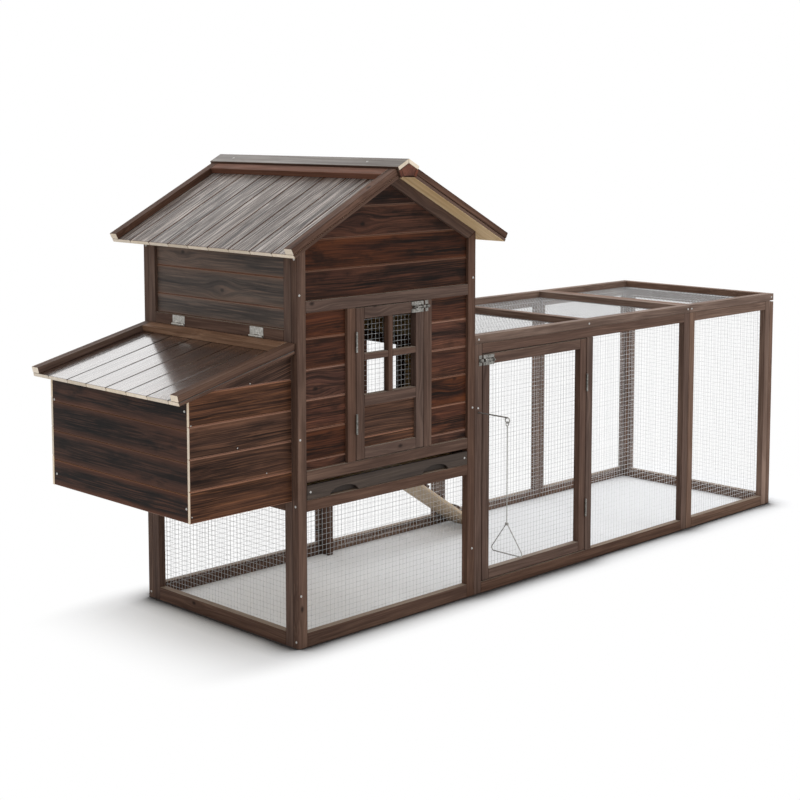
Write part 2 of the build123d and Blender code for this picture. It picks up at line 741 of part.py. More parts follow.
with BuildPart() as pop_door_guides:
    with BuildSketch(Plane.XZ.offset(-(POP_SHUT - 2))) as guide_section:
        rect(HOUSE_W + JOINT, FLOOR_RAIL_Z + 6, GUIDE_X1, WALL_Z0 - 2)
        rect(HOUSE_W + JOINT, POP_TOP + 2, GUIDE_X1, POP_TOP + 29)
        groove = POP_DOOR_T + 0.8
        rect(POP_X - 0.4, FLOOR_RAIL_Z + 21, POP_X - 0.4 + groove, WALL_Z0, Mode.SUBTRACT)
        rect(POP_X - 0.4, POP_TOP, POP_X - 0.4 + groove, POP_TOP + 14, Mode.SUBTRACT)
    extrude(guide_section.sketch, amount=BACK_Y - 2.5 - POP_SHUT + 2, dir=(0, 1, 0))

with BuildPart() as pop_door_panel:
    side_bars(POP_X, POP_DOOR_T, ((POP_OPEN, POP_Z0, POP_OPEN + POP_DOOR_W, POP_Z1),))

# Pull rod: an eye at its outer end; behind the front it drops below the pop-hole to the door's clip.
ROD_AT = HOUSE_W + ROD_X
ROD_LOW_AT = HOUSE_W + ROD_LOW_X
EYE_Y = -ROD_REACH
EYE_Z = ROD_Z - EYE_R
CLIP_X0 = POP_X + POP_DOOR_T + JOINT
CLIP_Y0 = POP_OPEN + 10
CLIP_Y1 = CLIP_Y0 + 30
CLIP_Z = WALL_Z0 + 3
CRANK_Y0 = TIMBER_T + POP_TRAVEL + ROD_BEND + 5

with BuildPart() as pull_rod:
    with BuildLine() as rod_path:
        FilletPolyline(
            (ROD_AT, EYE_Y, ROD_Z),
            (ROD_AT, CRANK_Y0, ROD_Z),
            (ROD_LOW_AT, POP_SHUT - ROD_BEND, ROD_LOW_Z),
            (ROD_LOW_AT, CLIP_Y1 - 5, ROD_LOW_Z),
            radius=ROD_BEND,
        )
    with BuildSketch(Plane(origin=rod_path.line @ 0, z_dir=rod_path.line % 0)) as rod_section:
        RegularPolygon(ROD_R, WIRE_SIDES)
    sweep(rod_section.sketch, path=rod_path.line)
    with BuildSketch(Plane.XZ.offset(-EYE_Y)) as eye_section:
        with Locations((ROD_AT, EYE_Z + EYE_R)):
            RegularPolygon(EYE_WIRE, WIRE_SIDES)
    revolve(eye_section.sketch, axis=Axis((ROD_AT, EYE_Y, EYE_Z), (1, 0, 0)))
    with BuildSketch(Plane.XZ.offset(-CLIP_Y0)) as clip_section:
        rect(CLIP_X0, CLIP_Z, ROD_LOW_AT + 4, CLIP_Z + 16)
        rect(ROD_LOW_AT - 4, ROD_LOW_Z - 4, ROD_LOW_AT + 4, CLIP_Z + 16)
    extrude(clip_section.sketch, amount=CLIP_Y1 - CLIP_Y0, dir=(0, 1, 0))

# Handle: a ring through the eye, a straight shank and a triangular wire grip held in a ferrule.
RING_Z = EYE_Z - EYE_R + EYE_WIRE + 0.3 + HANDLE_WIRE - HANDLE_RING
GRIP_TOP = EYE_Z - HANDLE_DROP
SHANK_TOP = RING_Z - HANDLE_RING
GRIP_LOW = GRIP_TOP - GRIP_H

with BuildPart() as pull_handle:
    with BuildSketch(Plane.YZ.offset(ROD_AT)) as ring_section:
        with Locations((EYE_Y, RING_Z + HANDLE_RING)):
            RegularPolygon(HANDLE_WIRE, WIRE_SIDES)
    revolve(ring_section.sketch, axis=Axis((ROD_AT, EYE_Y, RING_Z), (0, 1, 0)))
    with BuildSketch(Plane.XY.offset(GRIP_TOP)) as shank_section:
        with Locations((ROD_AT, EYE_Y)):
            RegularPolygon(HANDLE_WIRE, WIRE_SIDES)
    extrude(shank_section.sketch, amount=SHANK_TOP - GRIP_TOP, dir=(0, 0, 1))
    with BuildLine(Plane.YZ.offset(ROD_AT)) as grip_path:
        FilletPolyline(
            (EYE_Y - HANDLE_WIRE - JOINT, GRIP_TOP),
            (EYE_Y - GRIP_W / 2, GRIP_LOW),
            (EYE_Y + GRIP_W / 2, GRIP_LOW),
            (EYE_Y + HANDLE_WIRE + JOINT, GRIP_TOP),
            radius=GRIP_BEND,
        )
    with BuildSketch(Plane(origin=grip_path.line @ 0, z_dir=grip_path.line % 0)) as grip_section:
        RegularPolygon(HANDLE_WIRE, WIRE_SIDES)
    sweep(grip_section.sketch, path=grip_path.line)
    with Locations((ROD_AT, EYE_Y, GRIP_TOP)):
        Box(2 * HANDLE_WIRE + 2, 4 * HANDLE_WIRE + 4, FERRULE_H)

# Ramp with rungs, from the low rail of the right wall to the ground.
RAMP_SLOPE = radians(RAMP_PITCH)
RAMP_X = HOUSE_W + JOINT
RAMP_Y0 = BACK_Y - 4 - RAMP_W
RAMP_DROP = RAMP_T / cos(RAMP_SLOPE)
RAMP_FOOT = RAMP_X + RAMP_TOP / tan(RAMP_SLOPE)
RAMP_HEEL = RAMP_X + (RAMP_TOP - RAMP_DROP) / tan(RAMP_SLOPE)

with BuildPart() as ramp_board:
    with BuildSketch(Plane.XZ.offset(-RAMP_Y0)) as ramp_side:
        Polygon(
            (RAMP_X, RAMP_TOP - RAMP_DROP),
            (RAMP_HEEL, 0),
            (RAMP_FOOT, 0),
            (RAMP_X, RAMP_TOP),
            align=None,
        )
    extrude(ramp_side.sketch, amount=RAMP_W, dir=(0, 1, 0))

RAMP_RUN = Vector(cos(RAMP_SLOPE), 0, -sin(RAMP_SLOPE))
RAMP_UP = Vector(sin(RAMP_SLOPE), 0, cos(RAMP_SLOPE))
RUNG_STEP = RAMP_TOP / sin(RAMP_SLOPE) / (RUNGS + 1)

with BuildPart() as ramp_rungs:
    for index in range(RUNGS):
        seat = Vector(RAMP_X, RAMP_Y0, RAMP_TOP) + RAMP_RUN * (RUNG_STEP * (index + 1)) + RAMP_UP * JOINT
        rung_plane = Plane(origin=tuple(seat), x_dir=tuple(RAMP_RUN), z_dir=(0, 1, 0))
        with BuildSketch(rung_plane) as rung_section:
            with Locations((0, -RUNG / 4)):
                Rectangle(RUNG, RUNG / 2)
        extrude(rung_section.sketch, amount=RAMP_W, dir=(0, 1, 0))

# Run panels: stiles run from the ground to the top, rails fit between them.
RUN_RAIL_Z = RUN_H - TIMBER_W
NEAR_IN0 = RUN_X + TIMBER_W + JOINT
NEAR_IN1 = BAY_X - TIMBER_W - JOINT
MID_IN = MID_STILE_X + TIMBER_W + JOINT
FAR_IN0 = BAY_X + JOINT + TIMBER_W + JOINT
FAR_IN1 = END_X - TIMBER_W - 2 * JOINT


def near_panel():
    """Members of a near panel: three stiles with a rail above and below."""
    return (
        (RUN_X + JOINT, 0, RUN_X + TIMBER_W, RUN_H),
        (BAY_X - TIMBER_W, 0, BAY_X, RUN_H),
        (NEAR_IN0, 0, NEAR_IN1, RUN_SILL),
        (NEAR_IN0, RUN_RAIL_Z, NEAR_IN1, RUN_H),
        (MID_STILE_X, RUN_SILL + JOINT, MID_STILE_X + TIMBER_W, RUN_RAIL_Z - JOINT),
    )


def far_panel():
    """Members of a far panel: two stiles with a rail above and below."""
    return (
        (BAY_X + JOINT, 0, BAY_X + JOINT + TIMBER_W, RUN_H),
        (FAR_IN1 + JOINT, 0, END_X - JOINT, RUN_H),
        (FAR_IN0, 0, FAR_IN1, RUN_SILL),
        (FAR_IN0, RUN_RAIL_Z, FAR_IN1, RUN_H),
    )


FAR_X1 = END_X + TIMBER_T
BACK_W = (FAR_X1 - RUN_X) / BACK_PANELS


def back_opening(index):
    """Clear opening of one of the equal back panels."""
    left = RUN_X + index * BACK_W + BACK_STILE
    return (left, RUN_SILL, left + BACK_W - 2 * BACK_STILE, RUN_RAIL_Z)


def back_panel(index):
    """Members of one back panel, with narrower stiles."""
    left = RUN_X + index * BACK_W
    right = left + BACK_W
    inner0 = left + BACK_STILE + JOINT
    inner1 = right - BACK_STILE - JOINT
    return (
        (left + JOINT, 0, left + BACK_STILE, RUN_H),
        (right - BACK_STILE, 0, right - JOINT, RUN_H),
        (inner0, 0, inner1, RUN_SILL),
        (inner0, RUN_RAIL_Z, inner1, RUN_H),
    )


with BuildPart() as run_front_near_frame:
    front_bars(0, TIMBER_T, near_panel())
    with BuildSketch(Plane.XZ) as rod_hole:
        with Locations((ROD_AT, ROD_Z)):
            Circle(ROD_R + 0.5)
    extrude(rod_hole.sketch, amount=TIMBER_T, dir=(0, 1, 0), mode=Mode.SUBTRACT)

with BuildPart() as run_front_far_frame:
    front_bars(0, TIMBER_T, far_panel())

with BuildPart() as run_back_frame:
    for index in range(BACK_PANELS):
        front_bars(BACK_Y, TIMBER_T, back_panel(index))

with BuildPart() as run_front_near_mesh:
    net(FRONT_NET, TO_BACK, (MID_IN, RUN_SILL, NEAR_IN1, RUN_RAIL_Z), WIDE_LAP, 4, 5)

with BuildPart() as run_front_far_mesh:
    net(FRONT_NET, TO_BACK, (FAR_IN0, RUN_SILL, FAR_IN1, RUN_RAIL_Z), WIDE_LAP, 4, 5)

with BuildPart() as run_back_mesh:
    for index in range(BACK_PANELS):
        net(BACK_NET, TO_FRONT, back_opening(index), WIDE_LAP, 4, 5)

# End panel: it laps over the end of the front panel, butts on the back net and stops under the lid.
END_TOP = RUN_H - END_DROP
END_Y1 = BACK_Y - NET_T - 2 * JOINT
END_IN0 = TIMBER_W + JOINT
END_IN1 = END_Y1 - TIMBER_W - JOINT

with BuildPart() as run_end_frame:
    side_bars(
        END_X,
        TIMBER_T,
        (
            (0, 0, TIMBER_W, END_TOP),
            (END_Y1 - TIMBER_W, 0, END_Y1, END_TOP),
            (END_IN0, 0, END_IN1, RUN_SILL),
            (END_IN0, END_TOP - TIMBER_W, END_IN1, END_TOP),
        ),
    )

with BuildPart() as run_end_mesh:
    END_NET = Plane.YZ.offset(END_X - JOINT)
    net(END_NET, (-1, 0, 0), (END_IN0, RUN_SILL, END_IN1, END_TOP - TIMBER_W), NET_LAP, 4, 5)

# Run lids: flat frames that lie on the panels, with mesh inside.
LID_Z = RUN_H + JOINT
LID_IN0 = TIMBER_W + JOINT
LID_IN1 = HOUSE_D - TIMBER_W - JOINT

with BuildPart() as run_lid_near_frame:
    flat_bars(
        LID_Z,
        RUN_LID_T,
        (
            (RUN_X + JOINT, 0, BAY_X, TIMBER_W),
            (RUN_X + JOINT, HOUSE_D - TIMBER_W, BAY_X, HOUSE_D),
            (RUN_X + JOINT, LID_IN0, RUN_X + TIMBER_W, LID_IN1),
            (MID_STILE_X, LID_IN0, MID_STILE_X + TIMBER_W, LID_IN1),
            (BAY_X - TIMBER_W, LID_IN0, BAY_X, LID_IN1),
        ),
    )

with BuildPart() as run_lid_far_frame:
    flat_bars(
        LID_Z,
        RUN_LID_T,
        (
            (BAY_X + JOINT, 0, FAR_X1, TIMBER_W),
            (BAY_X + JOINT, HOUSE_D - TIMBER_W, FAR_X1, HOUSE_D),
            (BAY_X + JOINT, LID_IN0, BAY_X + JOINT + TIMBER_W, LID_IN1),
            (FAR_X1 - TIMBER_W, LID_IN0, FAR_X1, LID_IN1),
        ),
    )

LID_NET = Plane.XY.offset(LID_Z + 2)

with BuildPart() as run_lid_near_mesh:
    net(LID_NET, (0, 0, 1), (NEAR_IN0, LID_IN0, MID_STILE_X, LID_IN1), -JOINT, 4, 5)
    net(LID_NET, (0, 0, 1), (MID_IN, LID_IN0, NEAR_IN1, LID_IN1), -JOINT, 4, 5)

with BuildPart() as run_lid_far_mesh:
    net(LID_NET, (0, 0, 1), (FAR_IN0, LID_IN0, FAR_X1 - TIMBER_W, LID_IN1), -JOINT, 4, 5)

# Run door.
RUN_DOOR_X1 = RUN_DOOR_X + RUN_DOOR_W
RUN_DOOR_Z0 = RUN_SILL + RUN_DOOR_GAP
RUN_DOOR_Z1 = RUN_RAIL_Z - RUN_DOOR_GAP
RUN_DOOR_IN0 = RUN_DOOR_X + TIMBER_W
RUN_DOOR_IN1 = RUN_DOOR_X1 - TIMBER_W

with BuildPart() as run_door_frame:
    front_bars(
        0,
        TIMBER_T,
        (
            (RUN_DOOR_X, RUN_DOOR_Z0, RUN_DOOR_IN0, RUN_DOOR_Z1),
            (RUN_DOOR_IN1, RUN_DOOR_Z0, RUN_DOOR_X1, RUN_DOOR_Z1),
            (RUN_DOOR_IN0 + JOINT, RUN_DOOR_Z0, RUN_DOOR_IN1 - JOINT, RUN_DOOR_Z0 + TIMBER_W),
            (RUN_DOOR_IN0 + JOINT, RUN_DOOR_Z1 - TIMBER_W, RUN_DOOR_IN1 - JOINT, RUN_DOOR_Z1),
        ),
    )

with BuildPart() as run_door_mesh:
    run_door_opening = (RUN_DOOR_IN0, RUN_DOOR_Z0 + TIMBER_W, RUN_DOOR_IN1, RUN_DOOR_Z1 - TIMBER_W)
    net(FRONT_NET, TO_BACK, run_door_opening, WIDE_LAP, 4, 5)

# Butt hinges: three knuckles on a pin, the leaves folded into the gap beside the door.
THIRD = HINGE_L / 3
KNUCKLE_GAP = 0.15


def upright_fixed(x, z0, side):
    """Fixed half of an upright hinge: outer knuckles, pin and leaf on the side of the jamb."""
    y = -HINGE_PROUD
    near = x + side * 0.1
    far = x + side * (0.1 + LEAF_T)
    with BuildSketch(Plane.XY.offset(z0)) as knuckle:
        with Locations((x, y)):
            Circle(HINGE_R)
        rect(min(near, far), y, max(near, far), 0.4)
    extrude(knuckle.sketch, amount=THIRD - KNUCKLE_GAP, dir=(0, 0, 1))
    extrude(
        knuckle.sketch.moved(Location((0, 0, 2 * THIRD + KNUCKLE_GAP))),
        amount=THIRD - KNUCKLE_GAP,
        dir=(0, 0, 1),
    )
    tube_between((x, y, z0), (x, y, z0 + HINGE_L), PIN_R)
    flat_bars(z0, HINGE_L, ((min(near, far), 0.2, max(near, far), LEAF_W),))


def upright_moving(x, z0, side):
    """Moving half of an upright hinge: middle knuckle and leaf on the side of the door."""
    y = -HINGE_PROUD
    near = x + side * 0.1
    far = x + side * (0.1 + LEAF_T)
    with BuildSketch(Plane.XY.offset(z0 + THIRD + KNUCKLE_GAP)) as knuckle:
        with Locations((x, y)):
            Circle(HINGE_R)
        rect(min(near, far), y, max(near, far), 0.4)
        with Locations((x, y)):
            Circle(PIN_R + PIN_CLEAR, mode=Mode.SUBTRACT)
    extrude(knuckle.sketch, amount=THIRD - 2 * KNUCKLE_GAP, dir=(0, 0, 1))
    flat_bars(z0, HINGE_L, ((min(near, far), 0.2, max(near, far), LEAF_W),))


HOUSE_HINGE_X = DOOR_X - DOOR_GAP / 2
HOUSE_HINGE_Z = (DOOR_Z0 + DOOR_HINGE_LOW, DOOR_Z1 - DOOR_HINGE_HIGH)
RUN_HINGE_X = RUN_DOOR_X1 + RUN_DOOR_GAP / 2
RUN_HINGE_Z = (RUN_DOOR_Z0 + RUN_HINGE_LOW, RUN_DOOR_Z1 - RUN_HINGE_HIGH)
LID_HINGE_X = -HINGE_PROUD
LID_HINGE_Z = LID_TOP_Z + 4.2
LID_HINGE_Y = (LID_HINGE_IN, HOUSE_D - LID_HINGE_IN - HINGE_L)


def lid_fixed(y0):
    """Fixed half of a lid hinge: outer knuckles, pin and the leaf on the wall rail."""
    with BuildSketch(Plane.XZ.offset(-y0)) as knuckle:
        with Locations((LID_HINGE_X, LID_HINGE_Z)):
            Circle(HINGE_R)
        rect(-0.2 - LEAF_T, LID_HINGE_Z, -0.2, LID_HINGE_Z + 6)
    extrude(knuckle.sketch, amount=THIRD - KNUCKLE_GAP, dir=(0, 1, 0))
    extrude(
        knuckle.sketch.moved(Location((0, 2 * THIRD + KNUCKLE_GAP, 0))),
        amount=THIRD - KNUCKLE_GAP,
        dir=(0, 1, 0),
    )
    tube_between((LID_HINGE_X, y0, LID_HINGE_Z), (LID_HINGE_X, y0 + HINGE_L, LID_HINGE_Z), PIN_R)
    side_bars(-0.2 - LEAF_T, LEAF_T, ((y0, LID_HINGE_Z + 5, y0 + HINGE_L, LID_HINGE_Z + 28),))


def lid_moving(y0):
    """Moving half of a lid hinge: middle knuckle and the leaf on the lid's back edge."""
    leaf0 = -LID_BACK
    leaf1 = leaf0 + LEAF_T
    with BuildSketch(Plane.XZ.offset(-(y0 + THIRD + KNUCKLE_GAP))) as knuckle:
        with Locations((LID_HINGE_X, LID_HINGE_Z)):
            Circle(HINGE_R)
        rect(leaf0, LID_HINGE_Z - 6, leaf1, LID_HINGE_Z)
        with Locations((LID_HINGE_X, LID_HINGE_Z)):
            Circle(PIN_R + PIN_CLEAR, mode=Mode.SUBTRACT)
    extrude(knuckle.sketch, amount=THIRD - 2 * KNUCKLE_GAP, dir=(0, 1, 0))
    side_bars(leaf0, LEAF_T, ((y0, LID_HINGE_Z - 25, y0 + HINGE_L, LID_HINGE_Z - 4.4),))


with BuildPart() as hinge_fixed_leaves:
    for level in HOUSE_HINGE_Z:
        upright_fixed(HOUSE_HINGE_X, level, -1)
    for level in RUN_HINGE_Z:
        upright_fixed(RUN_HINGE_X, level, 1)
    for station in LID_HINGE_Y:
        lid_fixed(station)

with BuildPart() as house_door_hinge_leaves:
    for level in HOUSE_HINGE_Z:
        upright_moving(HOUSE_HINGE_X, level, 1)

with BuildPart() as run_door_hinge_leaves:
    for level in RUN_HINGE_Z:
        upright_moving(RUN_HINGE_X, level, -1)

with BuildPart() as nest_lid_hinge_leaves:
    for station in LID_HINGE_Y:
        lid_moving(station)


# Barrel bolts: a fish-tailed plate with two straps, a round bolt with a finger tab, and a keeper.
def strap(x0, x1, z, bore):
    """A round strap that a bolt slides in, rising from its plate."""
    with BuildSketch(Plane.YZ.offset(min(x0, x1))) as ring:
        with Locations((-BOLT_AXIS, z)):
            Circle(BOLT_R + 2.2)
        rect(-BOLT_AXIS, z - BOLT_R - 2.2, -PLATE_T / 2, z + BOLT_R + 2.2)
        with Locations((-BOLT_AXIS, z)):
            Circle(bore, mode=Mode.SUBTRACT)
    extrude(ring.sketch, amount=abs(x1 - x0), dir=(1, 0, 0))


def bolt_plate(edge, z, way):
    """Plate on the door, reaching back from the door's edge."""
    front = edge - way * 2
    tail = front - way * PLATE_L
    with BuildSketch(Plane.XZ) as plate:
        rect(min(front, tail), z - PLATE_H / 2, max(front, tail), z + PLATE_H / 2)
        Polygon(
            (tail, z - PLATE_H / 4),
            (tail + way * PLATE_H / 5, z),
            (tail, z + PLATE_H / 4),
            align=None,
            mode=Mode.SUBTRACT,
        )
    extrude(plate.sketch, amount=PLATE_T, dir=(0, -1, 0))
    strap(edge - way * 3, edge - way * 12, z, BOLT_R + 0.08)
    strap(tail + way * (STRAP_IN + STRAP_W), tail + way * STRAP_IN, z, BOLT_R + 0.08)


def bolt_rod(edge, z, way):
    """The bolt, drawn back, with its finger tab."""
    nose = edge - way * 2.5
    tube_between((nose, -BOLT_AXIS, z), (nose - way * BOLT_L, -BOLT_AXIS, z), BOLT_R)
    tab = edge - way * TAB_IN
    with BuildSketch(Plane.XZ.offset(BOLT_AXIS)) as tab_section:
        with Locations((tab, z)):
            Rectangle(TAB_W, BOLT_R)
    extrude(tab_section.sketch, amount=TAB_REACH, dir=TO_FRONT)


def bolt_keeper(edge, z, way):
    """Keeper on the jamb that the bolt shoots into."""
    near = edge + way * 5
    far = edge + way * KEEPER_L
    with BuildSketch(Plane.XZ) as plate:
        rect(min(near, far), z - PLATE_H / 2, max(near, far), z + PLATE_H / 2)
    extrude(plate.sketch, amount=PLATE_T, dir=(0, -1, 0))
    strap(edge + way * 7, edge + way * (KEEPER_L - 2), z, BOLT_R + 0.3)


HOUSE_BOLT_Z = DOOR_Z1 - PLATE_H / 2
RUN_BOLT_Z = RUN_DOOR_Z1 - PLATE_H / 2 - 2

with BuildPart() as house_door_bolt_plate:
    bolt_plate(DOOR_X1, HOUSE_BOLT_Z, 1)

with BuildPart() as house_door_bolt:
    bolt_rod(DOOR_X1, HOUSE_BOLT_Z, 1)

with BuildPart() as run_door_bolt_plate:
    bolt_plate(RUN_DOOR_X, RUN_BOLT_Z, -1)

with BuildPart() as run_door_bolt:
    bolt_rod(RUN_DOOR_X, RUN_BOLT_Z, -1)

with BuildPart() as bolt_keepers:
    bolt_keeper(DOOR_X1, HOUSE_BOLT_Z, 1)
    bolt_keeper(RUN_DOOR_X, RUN_BOLT_Z, -1)

# Every piece is written out round the middle of the whole coop's footprint.
nodes = {
    "front_frame": front_frame,
    "front_cladding": front_cladding,
    "front_lower_mesh": front_lower_mesh,
    "left_frame": left_frame,
    "left_cladding": left_cladding,
    "left_lower_mesh": left_lower_mesh,
    "back_frame": back_frame,
    "back_cladding": back_cladding,
    "back_lower_mesh": back_lower_mesh,
    "right_frame": right_frame,
    "right_cladding": right_cladding,
    "pop_door_guides": pop_door_guides,
    "tray_runners": tray_runners,
    "perches": perches,
    "ridge_beam": ridge_beam,
    "ridge_cap": ridge_cap,
    "roof_left_boards": roof_left_boards,
    "roof_right_boards": roof_right_boards,
    "roof_battens": roof_battens,
    "nest_box_sides": nest_box_sides,
    "nest_box_front": nest_box_front,
    "nest_box_floor": nest_box_floor,
    "nest_box_divider": nest_box_divider,
    "nest_lid_boards": nest_lid_boards,
    "nest_lid_battens": nest_lid_battens,
    "nest_lid_hinge_leaves": nest_lid_hinge_leaves,
    "house_door_frame": house_door_frame,
    "house_door_panel": house_door_panel,
    "house_door_mesh": house_door_mesh,
    "house_door_hinge_leaves": house_door_hinge_leaves,
    "house_door_bolt_plate": house_door_bolt_plate,
    "house_door_bolt": house_door_bolt,
    "tray_front": tray_front,
    "tray_floor": tray_floor,
    "tray_rims": tray_rims,
    "pop_door_panel": pop_door_panel,
    "pull_rod": pull_rod,
    "pull_handle": pull_handle,
    "ramp_board": ramp_board,
    "ramp_rungs": ramp_rungs,
    "run_front_near_frame": run_front_near_frame,
    "run_front_near_mesh": run_front_near_mesh,
    "run_front_far_frame": run_front_far_frame,
    "run_front_far_mesh": run_front_far_mesh,
    "run_back_frame": run_back_frame,
    "run_back_mesh": run_back_mesh,
    "run_end_frame": run_end_frame,
    "run_end_mesh": run_end_mesh,
    "run_lid_near_frame": run_lid_near_frame,
    "run_lid_near_mesh": run_lid_near_mesh,
    "run_lid_far_frame": run_lid_far_frame,
    "run_lid_far_mesh": run_lid_far_mesh,
    "run_door_frame": run_door_frame,
    "run_door_mesh": run_door_mesh,
    "run_door_hinge_leaves": run_door_hinge_leaves,
    "run_door_bolt_plate": run_door_bolt_plate,
    "run_door_bolt": run_door_bolt,
    "hinge_fixed_leaves": hinge_fixed_leaves,
    "bolt_keepers": bolt_keepers,
}

boxes = [node.part.bounding_box() for node in nodes.values()]
low_x = min(box.min.X for box in boxes)
high_x = max(box.max.X for box in boxes)
low_y = min(box.min.Y for box in boxes)
high_y = max(box.max.Y for box in boxes)
to_origin = Location((-(low_x + high_x) / 2, -(low_y + high_y) / 2, 0))

for name, node in nodes.items():
    piece = node.part.moved(to_origin)
    piece.label = name
    export_step(piece, f"parts/{name}.step")

print("shift", -(low_x + high_x) / 2, -(low_y + high_y) / 2)
print("reach", low_x, high_x, low_y, high_y)
print("eye", ROD_AT, EYE_Y, EYE_Z)
print("pop travel", POP_TRAVEL)
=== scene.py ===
"""A wooden hen house with a nest box and a mesh run: stained softwood, welded wire and zinc fittings."""

import json
import math
import random

import bmesh
import bpy
from mathutils import Matrix, Vector


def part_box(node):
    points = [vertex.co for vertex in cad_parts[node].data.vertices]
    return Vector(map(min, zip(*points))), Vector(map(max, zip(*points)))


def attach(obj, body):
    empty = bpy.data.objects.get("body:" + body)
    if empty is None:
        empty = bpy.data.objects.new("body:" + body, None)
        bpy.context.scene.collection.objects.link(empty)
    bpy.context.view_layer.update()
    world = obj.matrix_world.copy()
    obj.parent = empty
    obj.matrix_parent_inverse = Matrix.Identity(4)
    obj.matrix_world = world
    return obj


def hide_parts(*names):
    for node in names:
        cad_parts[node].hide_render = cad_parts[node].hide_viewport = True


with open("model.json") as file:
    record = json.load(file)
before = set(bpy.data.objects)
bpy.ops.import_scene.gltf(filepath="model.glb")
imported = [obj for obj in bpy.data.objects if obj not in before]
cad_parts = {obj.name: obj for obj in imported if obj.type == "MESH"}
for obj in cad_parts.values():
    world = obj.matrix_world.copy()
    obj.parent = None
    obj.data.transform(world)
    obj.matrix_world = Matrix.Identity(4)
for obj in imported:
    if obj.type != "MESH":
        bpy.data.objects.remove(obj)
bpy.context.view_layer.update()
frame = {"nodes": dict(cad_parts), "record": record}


# House frames. Planed softwood battens, 35 x 25 mm, are screwed into butt-jointed panels and
# dipped in a thin brown stain. Each length is cut from its own stick, so its grain and its shade
# are its own. Its corners are eased, and the sides that lie to the sky are painted paler: painted light from
# above.
BATTEN_EASE = 0.0014
LYING = 0.9


def linear(colour):
    """An sRGB hex colour as linear RGBA."""
    parts = [int(colour[at:at + 2], 16) / 255 for at in (1, 3, 5)]
    return tuple(p / 12.92 if p <= 0.04045 else ((p + 0.055) / 1.055) ** 2.4 for p in parts) + (1.0,)


def add(tree, kind, inputs=None, **settings):
    """Add a node with its settings; an input is either a value or the socket that feeds it."""
    node = tree.nodes.new(kind)
    for key, value in settings.items():
        setattr(node, key, value)
    for key, value in (inputs or {}).items():
        if isinstance(value, bpy.types.NodeSocket):
            tree.links.new(value, node.inputs[key])
        else:
            node.inputs[key].default_value = value
    return node


KNOTS_PER_M = 4.0
KNOT_OVAL = 0.6
KNOT_HEART = "#150c08"
KNOT_HEART_SHARE = 0.35
# Where the grain is pushed aside, from its outer to its inner end in spaces between knots, and how far.
PARTING_FROM, PARTING_TO, PARTING = 0.28, 0.02, 0.7
WANDER_M = 0.03
STREAK_SPREAD = 0.2
# A wave texture of scale 1 repeats after so many millimetres.
WAVE_MM = 314
WARM_CUTS = (0.88, 1.12)
FIBRE_RELIEF_M = 0.0008
DULLER, SMOOTHER = 0.1, 0.08


